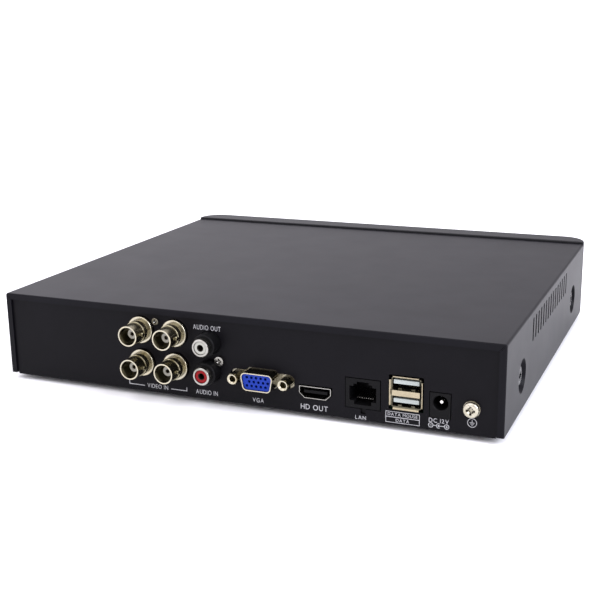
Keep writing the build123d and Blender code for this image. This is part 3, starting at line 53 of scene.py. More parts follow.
PANEL_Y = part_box("earth_washer")[0].y
TRAY_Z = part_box("base_tray")[0].z

# ------------------------------------------------------------------------------------------
# Camera, behind the recorder and to its -X side
# ------------------------------------------------------------------------------------------
CAMERA_PLACE = Vector((-0.2088, 0.5240, 0.1770))
CAMERA_HEADING = radians(156.74)
CAMERA_DIP = radians(15.25)
CAMERA_ROLL = radians(-0.91)

camera = bpy.data.objects.new("camera", bpy.data.cameras.new("camera"))
bpy.context.scene.collection.objects.link(camera)
camera.data.sensor_width = 36.0
camera.data.lens = 63.43
camera.data.shift_x = 0.0246
camera.data.clip_start = 0.01
camera.data.clip_end = 200.0
sight = Vector(
    (
        sin(CAMERA_HEADING) * cos(CAMERA_DIP),
        cos(CAMERA_HEADING) * cos(CAMERA_DIP),
        -sin(CAMERA_DIP),
    )
)
camera.rotation_mode = "QUATERNION"
camera.location = CAMERA_PLACE
camera.rotation_quaternion = sight.to_track_quat("-Z", "Y") @ Quaternion((0, 0, 1), CAMERA_ROLL)
bpy.context.scene.camera = camera
bpy.context.scene.view_settings.view_transform = "Standard"
bpy.context.scene.view_settings.look = "None"


# ------------------------------------------------------------------------------------------
# Materials
# ------------------------------------------------------------------------------------------
def scaled(colour, factor):
    """The colour made darker or lighter."""
    return [c * factor for c in colour]


class Finish:
    """A Principled material whose colour, roughness and relief are worked out by nodes."""

    def __init__(self, name, **fixed):
        self.material = bpy.data.materials.new(name)
        self.material.use_nodes = True
        self.tree = self.material.node_tree
        self.shader = self.tree.nodes["Principled BSDF"]
        self.place = self.tree.nodes.new("ShaderNodeTexCoord").outputs["Object"]
        for socket, value in fixed.items():
            self.shader.inputs[socket.replace("_", " ")].default_value = value

    def node(self, kind, inputs=None, **settings):
        """Adds a node, sets its settings, and fills or links its inputs."""
        made = self.tree.nodes.new("ShaderNode" + kind)
        for setting, value in settings.items():
            setattr(made, setting, value)
        for socket, value in (inputs or {}).items():
            if isinstance(value, bpy.types.NodeSocket):
                self.tree.links.new(value, made.inputs[socket])
            else:
                made.inputs[socket].default_value = value
        return made

    def stretched(self, stretch):
        """The place scaled differently along each axis, for grain that runs one way."""
        return self.node("Mapping", {"Vector": self.place, "Scale": stretch}).outputs["Vector"]

    def from_point(self, point):
        """The place measured from a point."""
        inputs = {0: self.place, 1: point}
        return self.node("VectorMath", inputs, operation="SUBTRACT").outputs[0]

    def noise(self, size, detail=3.0, stretch=None):
        """Noise whose features measure about size metres."""
        where = self.stretched(stretch) if stretch else self.place
        inputs = {"Vector": where, "Scale": 1.0 / size, "Detail": detail, "Roughness": 0.55}
        return self.node("TexNoise", inputs).outputs["Fac"]

    def cells(self, size):
        """Distance in a field of random cells of about size metres."""
        made = self.node("TexVoronoi", {"Vector": self.place, "Scale": 1.0 / size})
        return made.outputs["Distance"]

    def spread(self, value, low, high, out_low=0.0, out_high=1.0):
        """Maps value from low..high to out_low..out_high, held at the ends."""
        inputs = {"Value": value, 1: low, 2: high, 3: out_low, 4: out_high}
        return self.node("MapRange", inputs).outputs["Result"]

    def product(self, first, second):
        """Two values multiplied."""
        return self.node("Math", {0: first, 1: second}, operation="MULTIPLY").outputs[0]

    def mixed(self, share, first, second):
        """Colour between first and second."""
        made = self.node("Mix", {"Factor": share}, data_type="RGBA")
        for socket, value in (("A_Color", first), ("B_Color", second)):
            port = next(i for i in made.inputs if i.identifier == socket)
            if isinstance(value, bpy.types.NodeSocket):
                self.tree.links.new(value, port)
            else:
                port.default_value = (*value, 1.0)
        return next(o for o in made.outputs if o.identifier == "Result_Color")

    def use(self, socket, value):
        """Feeds a node's output to a socket of the shader."""
        self.tree.links.new(value, self.shader.inputs[socket])
        return self

    def varied_gloss(self, pattern, middle_gloss, below, above):
        """Roughness that follows a noise, from middle_gloss - below to middle_gloss + above."""
        low, high = middle_gloss - below, middle_gloss + above
        return self.use("Roughness", self.spread(pattern, 0.3, 0.7, low, high))

    def relief(self, *layers):
        """Stacks bump layers, each given as height output, strength and depth in metres."""
        normal = None
        for height, strength, depth in layers:
            inputs = {"Height": height, "Strength": strength, "Distance": depth}
            if normal is not None:
                inputs["Normal"] = normal
            normal = self.node("Bump", inputs).outputs["Normal"]
        return self.use("Normal", normal)


def powder_coat(name, colour, gloss, specular):
    """Baked powder coat on sheet steel: a fine orange-peel skin, faint cloudiness, rare specks."""
    made = Finish(name, Metallic=0.0, Specular_IOR_Level=specular)
    peel = made.noise(0.0011, 2.0)
    grain = made.noise(0.00028, 2.0)
    cloud = made.noise(0.045, 4.0)
    darker = scaled(colour, 0.82)
    lighter = scaled(colour, 1.25)
    tone = made.mixed(made.spread(cloud, 0.3, 0.7), darker, lighter)
    speck = made.spread(made.cells(0.006), 0.0, 0.035, 1.0, 0.0)
    tone = made.mixed(made.product(speck, 0.35), tone, scaled(colour, 3.0))
    made.use("Base Color", tone)
    made.varied_gloss(made.noise(0.02, 5.0), gloss, 0.012, 0.012)
    return made.relief((peel, 0.10, 0.00006), (grain, 0.12, 0.00002)).material


def moulding(name, colour, gloss, grain_size=0.0006, specular=0.45, relief=0.25):
    """Moulded plastic with a spark-eroded skin and slight variation in gloss."""
    made = Finish(name, Specular_IOR_Level=specular)
    grain = made.noise(grain_size, 3.0)
    flow = made.noise(0.018, 3.0, stretch=(1.0, 2.2, 1.0))
    darker = scaled(colour, 0.9)
    lighter = [min(1, c * 1.1) for c in colour]
    made.use("Base Color", made.mixed(made.spread(flow, 0.3, 0.7), darker, lighter))
    made.varied_gloss(grain, gloss, 0.06, 0.06)
    return made.relief((grain, relief, 0.00004)).material


def moulding_shaded_behind_panel(name, colour, painted_shade_colour, gloss):
    """Moulding coloured in front of the rear panel; behind it, painted shade makes the body dark.
    """
    made = Finish(name, Specular_IOR_Level=0.2)
    grain = made.noise(0.0004, 3.0)
    depth = made.node("SeparateXYZ", {0: made.place}).outputs["Y"]
    front = made.spread(depth, PANEL_Y, PANEL_Y + 0.4 * MM)
    tone = made.mixed(made.spread(grain, 0.3, 0.7), scaled(colour, 0.85), colour)
    # Behind the panel's face the colour is painted shade.
    made.use("Base Color", made.mixed(front, painted_shade_colour, tone))
    made.varied_gloss(grain, gloss, 0.06, 0.06)
    return made.relief((grain, 0.25, 0.00004)).material


def bored_moulding(name, colour, node, bore, gloss):
    """Ring-shaped insert: pigment outside the bore, painted shade inside it."""
    made = Finish(name, Specular_IOR_Level=0.15)
    grain = made.noise(0.0004, 3.0)
    offset = made.from_point(middle(node))
    flat = made.node("VectorMath", {0: offset, 1: (1, 0, 1)}, operation="MULTIPLY").outputs[0]
    radius = made.node("VectorMath", {0: flat}, operation="LENGTH").outputs["Value"]
    shown = made.spread(radius, bore, bore + 0.1 * MM)
    tone = made.mixed(made.spread(grain, 0.3, 0.7), scaled(colour, 0.85), colour)
    # Inside the bore the colour is near black: painted shade in the hole.
    made.use("Base Color", made.mixed(shown, (0.012, 0.009, 0.007), tone))
    made.varied_gloss(grain, gloss, 0.06, 0.06)
    return made.relief((grain, 0.25, 0.00004)).material


def plated(name, colour, tarnish, gloss, painted_shade=None, relief=0.04, painted_recess_shade=0.0):
    """Plated metal: bright colour, a duller warm bloom in patches, fine handling marks.

    painted_shade is a colour and the range of y that wears it: painted shade on the walls that lie
    deep in a socket.
    painted_recess_shade is the reach in metres of the painted shade that darkens recesses and
    corners.
    """
    made = Finish(name, Metallic=1.0)
    bloom = made.spread(made.noise(0.0045, 3.0), 0.42, 0.72)
    tone = made.mixed(bloom, colour, tarnish)
    # Painted shade: over a band of depth the colour turns dark, for the walls deep in a socket.
    if painted_shade:
        dark, low, high = painted_shade
        depth = made.node("SeparateXYZ", {0: made.place}).outputs["Y"]
        above = made.spread(depth, low, low + 0.2 * MM)
        below = made.spread(depth, high - 0.2 * MM, high, 1.0, 0.0)
        tone = made.mixed(made.product(above, below), tone, dark)
    # Painted shade: ambient occlusion darkens the colour in recesses and corners.
    if painted_recess_shade:
        hollow = made.node("AmbientOcclusion", {"Distance": painted_recess_shade}, samples=8).outputs["AO"]
        tone = made.mixed(made.spread(hollow, 0.25, 0.8), scaled(colour, 0.12), tone)
    made.use("Base Color", tone)
    marks = made.noise(0.0009, 2.0)
    made.use("Roughness", made.spread(marks, 0.25, 0.75, gloss * 0.85, gloss * 1.2))
    return made.relief((marks, relief, 0.00003)).material


def brushed(name, colour, gloss, stretch):
    """Rolled or brushed metal whose grain runs along the axis that is stretched least."""
    made = Finish(name, Metallic=1.0, Anisotropic=0.35)
    grain = made.noise(0.0012, 5.0, stretch=stretch)
    cloud = made.noise(0.03, 2.0)
    tone = made.mixed(made.spread(grain, 0.3, 0.7), scaled(colour, 0.86), colour)
    dulled = made.product(made.spread(cloud, 0.4, 0.8), 0.3)
    made.use("Base Color", made.mixed(dulled, tone, scaled(colour, 0.7)))
    made.varied_gloss(grain, gloss, 0.05, 0.08)
    return made.relief((grain, 0.12, 0.00004)).material


def cast(name, colour, gloss):
    """Die-cast alloy: dull, pebbled, with darker pools."""
    made = Finish(name, Metallic=1.0)
    pebble = made.noise(0.0009, 4.0)
    pool = made.noise(0.012, 3.0)
    made.use("Base Color", made.mixed(made.spread(pool, 0.35, 0.7), colour, scaled(colour, 0.72)))
    made.varied_gloss(pebble, gloss, 0.08, 0.1)
    return made.relief((pebble, 0.35, 0.0001)).material


def circuit_board(name, mask):
    """Solder mask over copper: lighter tracks, plated via dots and the weave of the laminate."""
    made = Finish(name, Specular_IOR_Level=0.5, Coat_Weight=0.4, Coat_Roughness=0.15)
    tracks = made.node(
        "TexBrick",
        {
            "Vector": made.place,
            "Scale": 95.0,
            "Mortar Size": 0.035,
            "Mortar Smooth": 0.1,
            "Brick Width": 1.7,
            "Row Height": 0.16,
        },
    ).outputs["Fac"]
    pour = made.spread(made.noise(0.02, 2.0), 0.48, 0.52)
    copper = made.product(tracks, pour)
    vias = made.spread(made.cells(0.004), 0.07, 0.09, 1.0, 0.0)
    tone = made.mixed(copper, mask, [min(1, c * 1.9 + 0.01) for c in mask])
    tone = made.mixed(vias, tone, (0.62, 0.48, 0.22))
    made.use("Base Color", tone)
    weave = made.node("TexChecker", {"Vector": made.place, "Scale": 1800.0}).outputs["Fac"]
    made.use("Roughness", made.spread(made.noise(0.004, 3.0), 0.3, 0.7, 0.28, 0.42))
    return made.relief((copper, 0.5, 0.00004), (weave, 0.06, 0.00002)).material


def rubber(name, colour):
    """Rubber or soft vinyl: matt, grained, with a little dust."""
    made = Finish(name, Specular_IOR_Level=0.3, Sheen_Weight=0.15, Sheen_Roughness=0.5)
    grain = made.noise(0.0005, 4.0)
    dust = made.spread(made.noise(0.006, 5.0), 0.5, 0.8)
    made.use("Base Color", made.mixed(dust, colour, [c + 0.03 for c in colour]))
    made.use("Roughness", made.spread(grain, 0.3, 0.7, 0.72, 0.9))
    return made.relief((grain, 0.3, 0.00006)).material


def clear_part(name, colour, gloss, passing):
    """Acrylic or lens resin: lets light through and carries a faint haze."""
    made = Finish(name, Transmission_Weight=passing, IOR=1.49)
    haze = made.noise(0.008, 4.0)
    made.use("Base Color", made.mixed(made.spread(haze, 0.3, 0.7), colour, scaled(colour, 0.85)))
    made.use("Roughness", made.spread(haze, 0.3, 0.7, gloss, gloss + 0.05))
    return made.relief((haze, 0.02, 0.0001)).material


def printed_ink(name, colour):
    """Screen-printed ink: slightly uneven cover and a mesh-like grain."""
    made = Finish(name, Specular_IOR_Level=0.3)
    cover = made.spread(made.noise(0.0006, 4.0), 0.3, 0.62)
    made.use("Base Color", made.mixed(cover, scaled(colour, 0.62), colour))
    made.use("Roughness", made.spread(cover, 0.0, 1.0, 0.5, 0.7))
    mesh_grain = made.node("TexChecker", {"Vector": made.place, "Scale": 9000.0}).outputs["Fac"]
    return made.relief((mesh_grain, 0.05, 0.00001)).material


def polished_platter(name):
    """Sputtered disk: near mirror, with hair-fine circular texture round the spindle."""
    made = Finish(name, Metallic=1.0)
    rings = made.node(
        "TexWave",
        {
            "Vector": made.from_point(middle("platters")),
            "Scale": 900.0,
            "Distortion": 0.3,
            "Detail": 2.0,
        },
        wave_type="RINGS",
        rings_direction="Z",
    ).outputs["Fac"]
    made.use("Base Color", made.mixed(rings, (0.78, 0.78, 0.8), (0.86, 0.86, 0.88)))
    made.use("Roughness", made.spread(rings, 0.0, 1.0, 0.035, 0.07))
    return made.relief((rings, 0.02, 0.00001)).material


NICKEL = (0.46, 0.43, 0.335)
# The reaches given for recesses below set painted shade in recesses and corners.
MATERIALS = {
    "cover_coat": powder_coat("cover_coat", (0.0036, 0.0034, 0.0050), 0.38, 0.088),
    # The panel coat is a darker, less shiny copy of the cover coat: painted shade on the rear
    # panel.
    "shaded_panel_coat": powder_coat("shaded_panel_coat", (0.0034, 0.0031, 0.0042), 0.42, 0.08),
    "bezel_skin": moulding("bezel_skin", (0.010, 0.010, 0.011), 0.46, 0.0005, 0.15),
    "window_acrylic": clear_part("window_acrylic", (0.16, 0.05, 0.06), 0.06, 0.75),
    "foot_rubber": rubber("foot_rubber", (0.03, 0.03, 0.03)),
    "black_zinc": plated(
        "black_zinc", (0.010, 0.010, 0.011), (0.045, 0.045, 0.048), 0.24, painted_recess_shade=1.2 * MM
    ),
    "bright_zinc": plated(
        "bright_zinc", (0.74, 0.72, 0.68), (0.56, 0.52, 0.42), 0.24, painted_recess_shade=0.8 * MM
    ),
    # BNC barrels: painted shade inside and painted reflection outside, between the flange and the
    # rim.
    "bayonet_nickel": plated(
        "bayonet_nickel",
        NICKEL,
        (0.54, 0.48, 0.34),
        0.22,
        painted_shade=((0.28, 0.255, 0.17), PANEL_Y + 2.0 * MM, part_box("bnc_shells")[1].y - 0.1 * MM),
        painted_recess_shade=1.0 * MM,
    ),
    # VGA D shell: painted reflection of the dark panel and painted shade behind its tip.
    "display_nickel": plated(
        "display_nickel",
        NICKEL,
        (0.50, 0.44, 0.30),
        0.22,
        painted_shade=((0.10, 0.092, 0.062), PANEL_Y - 0.1 * MM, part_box("vga_shell")[1].y - 0.5 * MM),
        painted_recess_shade=1.5 * MM,
    ),
    # Jackscrews: painted shade on the hex bodies behind their tips.
    "jackscrew_nickel": plated(
        "jackscrew_nickel",
        NICKEL,
        (0.50, 0.44, 0.30),
        0.20,
        painted_shade=((0.20, 0.18, 0.12), PANEL_Y - 2.0 * MM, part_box("vga_jackscrews")[1].y - 0.5 * MM),
        painted_recess_shade=1.2 * MM,
    ),
    "silver": plated("silver", (0.38, 0.37, 0.34), (0.26, 0.25, 0.22), 0.22, painted_recess_shade=0.8 * MM),
    "dull_tin": plated("dull_tin", (0.20, 0.19, 0.17), (0.12, 0.11, 0.10), 0.34),
    # BNC centre contacts painted near black: painted shade deep in the socket.
    "contact_painted_shade": plated("contact_painted_shade", (0.030, 0.024, 0.016), (0.02, 0.016, 0.01), 0.30),
    "nickel_cream": plated(
        "nickel_cream", (0.50, 0.47, 0.38), (0.38, 0.35, 0.26), 0.26, painted_recess_shade=2.2 * MM
    ),
    # USB shell: painted shade on the walls inside the socket.
    "port_shell": plated(
        "port_shell",
        (0.40, 0.345, 0.235),
        (0.34, 0.29, 0.195),
        0.34,
        painted_shade=(
            (0.13, 0.12, 0.085),
            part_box("usb_shell")[0].y - MM,
            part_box("usb_shell")[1].y - 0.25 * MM,
        ),
    ),
    "gold_flash": plated("gold_flash", (0.83, 0.62, 0.28), (0.62, 0.44, 0.18), 0.22),
    "black_moulding": moulding("black_moulding", (0.0035, 0.0034, 0.0037), 0.40, 0.0004, 0.09),
    "white_moulding": moulding("white_moulding", (0.80, 0.81, 0.79), 0.38, 0.0004),
    "grey_insulator": moulding("grey_insulator", (0.38, 0.37, 0.32), 0.42, 0.0004),
    "tongue_moulding": moulding("tongue_moulding", (0.35, 0.385, 0.365), 0.36, 0.0004),
    "white_insert": bored_moulding(
        "white_insert", (0.38, 0.38, 0.335), "rca_insert_white", 1.6 * MM, 0.40
    ),
    "red_insert": bored_moulding(
        "red_insert", (0.21, 0.002, 0.004), "rca_insert_red", 1.6 * MM, 0.34
    ),
    "blue_moulding": moulding_shaded_behind_panel(
        "blue_moulding", (0.002, 0.026, 0.28), (0.006, 0.006, 0.007), 0.42
    ),
    "green_board": circuit_board("green_board", (0.012, 0.10, 0.035)),
    "chip_body": moulding("chip_body", (0.03, 0.03, 0.033), 0.55, 0.0003, 0.35),
    "sleeve": moulding("sleeve", (0.02, 0.022, 0.045), 0.32, 0.0009),
    "cast_alloy": cast("cast_alloy", (0.62, 0.62, 0.64), 0.42),
    "rolled_steel": brushed("rolled_steel", (0.66, 0.66, 0.68), 0.30, (0.15, 1.0, 1.0)),
    "platter_film": polished_platter("platter_film"),
    "lens_resin": clear_part("lens_resin", (0.82, 0.86, 0.84), 0.08, 0.6),
    "lead_jacket": rubber("lead_jacket", (0.025, 0.025, 0.026)),
    "white_ink": printed_ink("white_ink", (0.44, 0.44, 0.45)),
}

NODE_FINISH = {
    "top_cover": "cover_coat",
    "base_tray": "shaded_panel_coat",
    "front_bezel": "bezel_skin",
    "front_window": "window_acrylic",
    "rubber_feet": "foot_rubber",
    "cover_screws": "black_zinc",
    "disk_mount_screws": "black_zinc",
    "panel_screws": "silver",
    "board_screws": "bright_zinc",
    "board_standoffs": "bright_zinc",
    "disk_lid_screws": "bright_zinc",
    "bnc_housing": "black_moulding",
    "bnc_shells": "bayonet_nickel",
    "bnc_insulators": "grey_insulator",
    "bnc_contacts": "contact_painted_shade",
    "rca_housing": "black_moulding",
    "rca_rings": "silver",
    "rca_insert_white": "white_insert",
    "rca_insert_red": "red_insert",
    "vga_shell": "display_nickel",
    "vga_insert": "blue_moulding",
    "vga_contacts": "gold_flash",
    "vga_jackscrews": "jackscrew_nickel",
    "hd_video_shell": "silver",
    "hd_video_tongue": "black_moulding",
    "lan_housing": "black_moulding",
    "lan_contacts": "dull_tin",
    "usb_shell": "port_shell",
    "usb_tongues": "tongue_moulding",
    "usb_contacts": "gold_flash",
    "dc_jack_housing": "black_moulding",
    "dc_jack_pin": "bright_zinc",
    "earth_washer": "nickel_cream",
    "earth_screw": "nickel_cream",
    "earth_nut": "bright_zinc",
    "main_board": "green_board",
    "led_board": "green_board",
    "disk_board": "green_board",
    "processor": "chip_body",
    "memory_chips": "chip_body",
    "heatsink": "cast_alloy",
    "capacitors": "sleeve",
    "inductors": "chip_body",
    "cell_holder": "black_moulding",
    "coin_cell": "bright_zinc",
    "buzzer": "black_moulding",
    "board_headers": "white_moulding",
    "status_leds": "lens_resin",
    "ir_receiver": "black_moulding",
    "disk_base": "cast_alloy",
    "disk_lid": "rolled_steel",
    "spindle_hub": "bright_zinc",
    "platters": "platter_film",
    "platter_clamp": "bright_zinc",
    "head_arm": "cast_alloy",
    "magnet_yoke": "bright_zinc",
    "disk_connector": "black_moulding",
    "disk_data_lead": "lead_jacket",
    "disk_power_lead": "lead_jacket",
    "front_lead": "lead_jacket",
}

for node_name, finish in NODE_FINISH.items():
    mesh = nodes[node_name].data
    if not mesh.materials:
        mesh.materials.append(None)
    for index in range(len(mesh.materials)):
        mesh.materials[index] = MATERIALS[finish]


# ------------------------------------------------------------------------------------------
# Making pieces
# ------------------------------------------------------------------------------------------
def piece(name, shape, finish, body="case", sharp=30):
    """Turns a bmesh into a named piece that rides on a body."""
    mesh = bpy.data.meshes.new(name)
    bmesh.ops.recalc_face_normals(shape, faces=shape.faces)
    shape.to_mesh(mesh)
    shape.free()
    mesh.polygons.foreach_set("use_smooth", [True] * len(mesh.polygons))
    mesh.set_sharp_from_angle(angle=radians(sharp))
    made = bpy.data.objects.new(name, mesh)
    bpy.context.scene.collection.objects.link(made)
    mesh.materials.append(MATERIALS[finish])
    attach(made, body)
    return made


def on_panel(x, z, out=0.0):
    """A point on the rear panel: x and z in mm, out in mm beyond the panel's face."""
    return Vector((x * MM, PANEL_Y + out * MM, z * MM))


INK = 0.03  # thickness of the printing, mm
LINE = 0.35  # width of its lines unless another is given


def prism(shape, outline, hole=None):
    """Adds a layer of ink on the rear panel, from outline points as x and z in mm.

    hole is the outline of a hole through it, with as many points.
    """
    lower = [shape.verts.new(on_panel(x, z)) for x, z in outline]
    upper = [shape.verts.new(on_panel(x, z, INK)) for x, z in outline]
    inner_low = [shape.verts.new(on_panel(x, z)) for x, z in hole or []]
    inner_high = [shape.verts.new(on_panel(x, z, INK)) for x, z in hole or []]
    count = len(outline)
    if not hole:
        shape.faces.new(lower)
        shape.faces.new(upper)
    for i in range(count):
        j = (i + 1) % count
        shape.faces.new((lower[i], lower[j], upper[j], upper[i]))
        if hole:
            shape.faces.new((inner_low[i], inner_low[j], inner_high[j], inner_high[i]))
            shape.faces.new((lower[i], lower[j], inner_low[j], inner_low[i]))
            shape.faces.new((upper[i], upper[j], inner_high[j], inner_high[i]))


def bar(shape, start, end, width=LINE):
    """A straight printed line between two points, x and z in mm."""
    run = Vector(end) - Vector(start)
    side = Vector((-run.y, run.x)).normalized() * width / 2
    corners = [Vector(start) + side, Vector(end) + side, Vector(end) - side, Vector(start) - side]
    prism(shape, [tuple(c) for c in corners])


def circle(centre, radius, steps):
    """Points round a circle, x and z in mm."""
    turns = [2 * pi * i / steps for i in range(steps)]
    return [(centre[0] + radius * cos(t), centre[1] + radius * sin(t)) for t in turns]


def ring(shape, centre, radius, width, steps=40):
    """A printed circle."""
    outer = circle(centre, radius + width / 2, steps)
    inner = circle(centre, radius - width / 2, steps)
    prism(shape, outer, inner)


def dot(shape, centre, radius, steps=20):
    """A printed disc."""
    prism(shape, circle(centre, radius, steps))


LETTER_GAP = 0.17  # between letters, in units of the font's size
WORD_GAP = 0.34


def lettering(name, words, centre_x, centre_z, width, height):
    """Words printed on the rear panel, read from behind, scaled to width by height in mm."""
    shape = bmesh.new()
    pen = 0.0
    for letter in words:
        if letter == " ":
            pen += WORD_GAP
            continue
        text = bpy.data.curves.new(name, "FONT")
        text.body = letter
        text.resolution_u = 6
        text.extrude = 0.5
        holder = bpy.data.objects.new(name + "_text", text)
        mesh = bpy.data.meshes.new_from_object(holder)
        bpy.data.objects.remove(holder)
        bpy.data.curves.remove(text)
        low_x, high_x = min(v.co.x for v in mesh.vertices), max(v.co.x for v in mesh.vertices)
        for vertex in mesh.vertices:
            vertex.co.x += pen - low_x
        shape.from_mesh(mesh)
        bpy.data.meshes.remove(mesh)
        pen += high_x - low_x + LETTER_GAP
    length = pen - LETTER_GAP
    low_y, high_y = min(v.co.y for v in shape.verts), max(v.co.y for v in shape.verts)
    for vertex in shape.verts:
        across = vertex.co.x / length - 0.5
        up = (vertex.co.y - low_y) / (high_y - low_y) - 0.5
        out = INK if vertex.co.z > 0 else 0.0
        vertex.co = on_panel(centre_x - across * width, centre_z + up * height, out)
    bmesh.ops.remove_doubles(shape, verts=shape.verts, dist=1e-7)
    piece(name, shape, "white_ink")


# ------------------------------------------------------------------------------------------
# Printing on the rear panel
# ------------------------------------------------------------------------------------------
TRAY = TRAY_Z / MM
audio = middle("rca_rings") / MM
video = middle("bnc_shells") / MM
vga = middle("vga_shell") / MM
hd = middle("hd_video_shell") / MM
lan = middle("lan_housing") / MM
usb = middle("usb_shell") / MM
inlet = middle("dc_jack_housing") / MM
earth = middle("earth_screw") / MM

# name, words, centre x, height of the centre above the tray's underside, width, letter height
LABELS = (
    ("audio_out", "AUDIO OUT", audio.x + 1.0, 35.1, 14.2, 2.3),
    ("audio_in", "AUDIO IN", audio.x + 2.2, 3.5, 11.4, 2.2),
    ("video_in", "VIDEO IN", video.x + 1.7, 3.2, 11.2, 2.1),
    ("vga", "VGA", vga.x + 2.3, 3.1, 5.6, 2.0),
    ("hd_out", "HD OUT", hd.x + 0.6, 3.2, 13.0, 2.5),
    ("lan", "LAN", lan.x + 1.0, 1.5, 5.0, 1.8),
    ("ports_upper", "DATA MOUSE", usb.x + 1.5, 5.1, 13.4, 1.4),
    ("ports_lower", "DATA", usb.x + 1.5, 2.5, 6.0, 1.4),
    ("inlet", "DC 12V", inlet.x + 0.5, 4.8, 8.8, 1.9),
)
for label, words, label_x, rise, width, letter_height in LABELS:
    lettering("print_" + label, words, label_x, TRAY + rise, width, letter_height)

video_marks = bmesh.new()
line_z = TRAY + 2.9
for near, far in ((8.8, 17.3), (-5.6, -14.2)):
    bar(video_marks, (video.x + near, line_z), (video.x + far, line_z))
    tick_x = video.x + far - copysign(LINE / 2, far)
    bar(video_marks, (tick_x, line_z + 0.18), (tick_x, line_z + 1.7))
piece("print_video_lines", video_marks, "white_ink")

port_box = bmesh.new()
box_left, box_right = usb.x + 9.2, usb.x - 6.2
box_low, box_high, box_split = TRAY + 1.2, TRAY + 6.4, TRAY + 3.8
outer_frame = [
    (box_left, box_low),
    (box_left, box_high),
    (box_right, box_high),
    (box_right, box_low),
]
inset = 0.24
inner_frame = [
    (box_left - inset, box_low + inset),
    (box_left - inset, box_high - inset),
    (box_right + inset, box_high - inset),
    (box_right + inset, box_low + inset),
]
prism(port_box, outer_frame, inner_frame)
bar(port_box, (box_left - inset, box_split), (box_right + inset, box_split), 0.28)
piece("print_ports_box", port_box, "white_ink")

# Polarity of the inlet: a ring with a minus, a cup round a dot, a ring with a plus
FINE_LINE = 0.28
SIGN_LINE = 0.26
SIGN_REACH = 0.5
SIGN_OFFSET = 3.5  # rings' centres either side of the dot
CUP_OUTER, CUP_INNER = 1.14, 0.86
CUP_STEPS = 16
polarity = bmesh.new()
jack_x, mark_z = inlet.x + 0.5, TRAY + 2.5
plus_x = jack_x - SIGN_OFFSET
for mark_x in (jack_x + SIGN_OFFSET, plus_x):
    ring(polarity, (mark_x, mark_z), 1.0, FINE_LINE)
    bar(polarity, (mark_x + SIGN_REACH, mark_z), (mark_x - SIGN_REACH, mark_z), SIGN_LINE)
for near, far in ((-SIGN_REACH, -0.14), (0.14, SIGN_REACH)):
    bar(polarity, (plus_x, mark_z + near), (plus_x, mark_z + far), SIGN_LINE)
dot(polarity, (jack_x, mark_z), 0.45)
bar(polarity, (jack_x - 0.4, mark_z), (jack_x - 2.36, mark_z), FINE_LINE)
cup = [radians(60 + 240 * i / CUP_STEPS) for i in range(CUP_STEPS + 1)]
cup_outer = [(jack_x - CUP_OUTER * cos(t), mark_z + CUP_OUTER * sin(t)) for t in cup]
cup_inner = [(jack_x - CUP_INNER * cos(t), mark_z + CUP_INNER * sin(t)) for t in cup]
for i in range(CUP_STEPS):
    prism(polarity, [cup_outer[i], cup_outer[i + 1], cup_inner[i + 1], cup_inner[i]])
bar(polarity, (jack_x + CUP_OUTER, mark_z), (jack_x + 2.36, mark_z), FINE_LINE)
bmesh.ops.remove_doubles(polarity, verts=polarity.verts, dist=1e-7)
piece("print_polarity", polarity, "white_ink")

earth_mark = bmesh.new()
sign_x, sign_z = earth.x - 0.2, TRAY + 5.9
ring(earth_mark, (sign_x, sign_z), 1.95, 0.24)
bar(earth_mark, (sign_x, sign_z + 1.3), (sign_x, sign_z + 0.1), 0.2)
for drop, half in ((0.0, 1.1), (0.55, 0.7), (1.1, 0.3)):
    bar(earth_mark, (sign_x - half, sign_z - drop), (sign_x + half, sign_z - drop), 0.2)
piece("print_earth_sign", earth_mark, "white_ink")

# ------------------------------------------------------------------------------------------
# Floor, surroundings and lights
# ------------------------------------------------------------------------------------------
floor_shape = bmesh.new()
bmesh.ops.create_circle(floor_shape, cap_ends=True, segments=96, radius=60.0)
floor_mesh = bpy.data.meshes.new("floor")
floor_shape.to_mesh(floor_mesh)
floor_shape.free()
floor = bpy.data.objects.new("floor", floor_mesh)
bpy.context.scene.collection.objects.link(floor)
floor_finish = Finish("floor_paper", Specular_IOR_Level=0.1)
paper = floor_finish.noise(0.05, 3.0)
floor_finish.use("Base Color", floor_finish.mixed(paper, (0.90, 0.90, 0.90), (0.92, 0.92, 0.92)))
floor_finish.use("Roughness", floor_finish.spread(paper, 0.0, 1.0, 0.85, 0.95))
floor_mesh.materials.append(floor_finish.material)
floor.location.z = -0.1 * MM

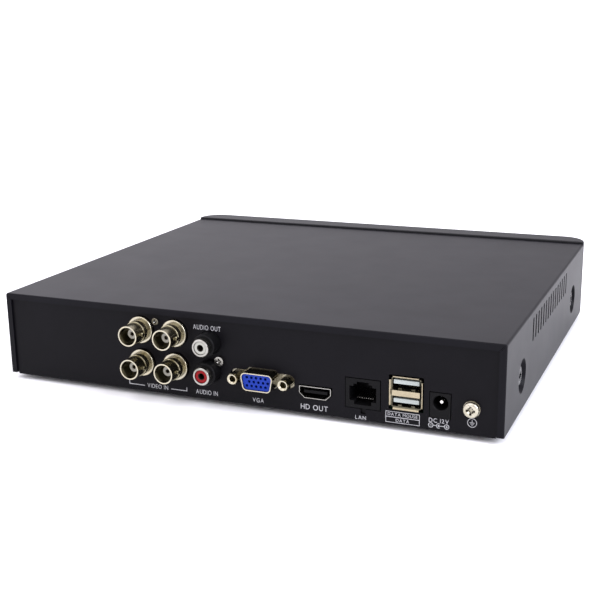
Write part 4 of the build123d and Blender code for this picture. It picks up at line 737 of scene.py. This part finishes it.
world = bpy.data.worlds.new("studio")
bpy.context.scene.world = world
world.use_nodes = True
sky = world.node_tree
direction = sky.nodes.new("ShaderNodeTexCoord").outputs["Generated"]
split = sky.nodes.new("ShaderNodeSeparateXYZ")
sky.links.new(direction, split.inputs[0])
height = sky.nodes.new("ShaderNodeValToRGB")
sky.links.new(split.outputs["Z"], height.inputs["Fac"])
stops = (  # sine of the elevation, and the level there
    (0.0, 1.5),
    (0.035, 1.5),
    (0.07, 0.95),
    (0.1, 0.84),
    (0.21, 0.88),
    (0.34, 1.72),
    (0.6, 1.60),
    (1.0, 1.45),
)
while len(height.color_ramp.elements) < len(stops):
    height.color_ramp.elements.new(0.5)
for element, (place, level) in zip(height.color_ramp.elements, stops):
    element.position = place
    element.color = (level, level * 0.97, level * 1.05, 1.0)
sideways = sky.nodes.new("ShaderNodeMapRange")
sky.links.new(split.outputs["X"], sideways.inputs["Value"])
SIDEWAYS = {"From Min": 0.10, "From Max": 0.65, "To Min": 0.78, "To Max": 1.28}
for socket, value in SIDEWAYS.items():
    sideways.inputs[socket].default_value = value
background = sky.nodes["Background"]
sky.links.new(height.outputs["Color"], background.inputs["Color"])
sky.links.new(sideways.outputs["Result"], background.inputs["Strength"])


def softbox(name, place, target, size, power, tint=(1.0, 1.0, 1.0)):
    """A square area light that faces target."""
    lamp = bpy.data.lights.new(name, "AREA")
    lamp.shape = "SQUARE"
    lamp.size = size
    lamp.energy = power
    lamp.color = tint
    holder = bpy.data.objects.new(name, lamp)
    bpy.context.scene.collection.objects.link(holder)
    holder.location = place
    holder.rotation_mode = "QUATERNION"
    holder.rotation_quaternion = (Vector(target) - Vector(place)).to_track_quat("-Z", "Y")


softbox("key_side", (-1.6, 0.5, 1.1), (0, 0, 0.02), 1.2, 38.0, (0.95, 0.98, 1.09))
softbox("fill_rear", (0.2, 1.6, 1.3), (0, 0.15, 0), 1.2, 7.0)
softbox("fill_top", (0.4, 0.2, 2.0), (0, 0, 0), 2.0, 12.0)
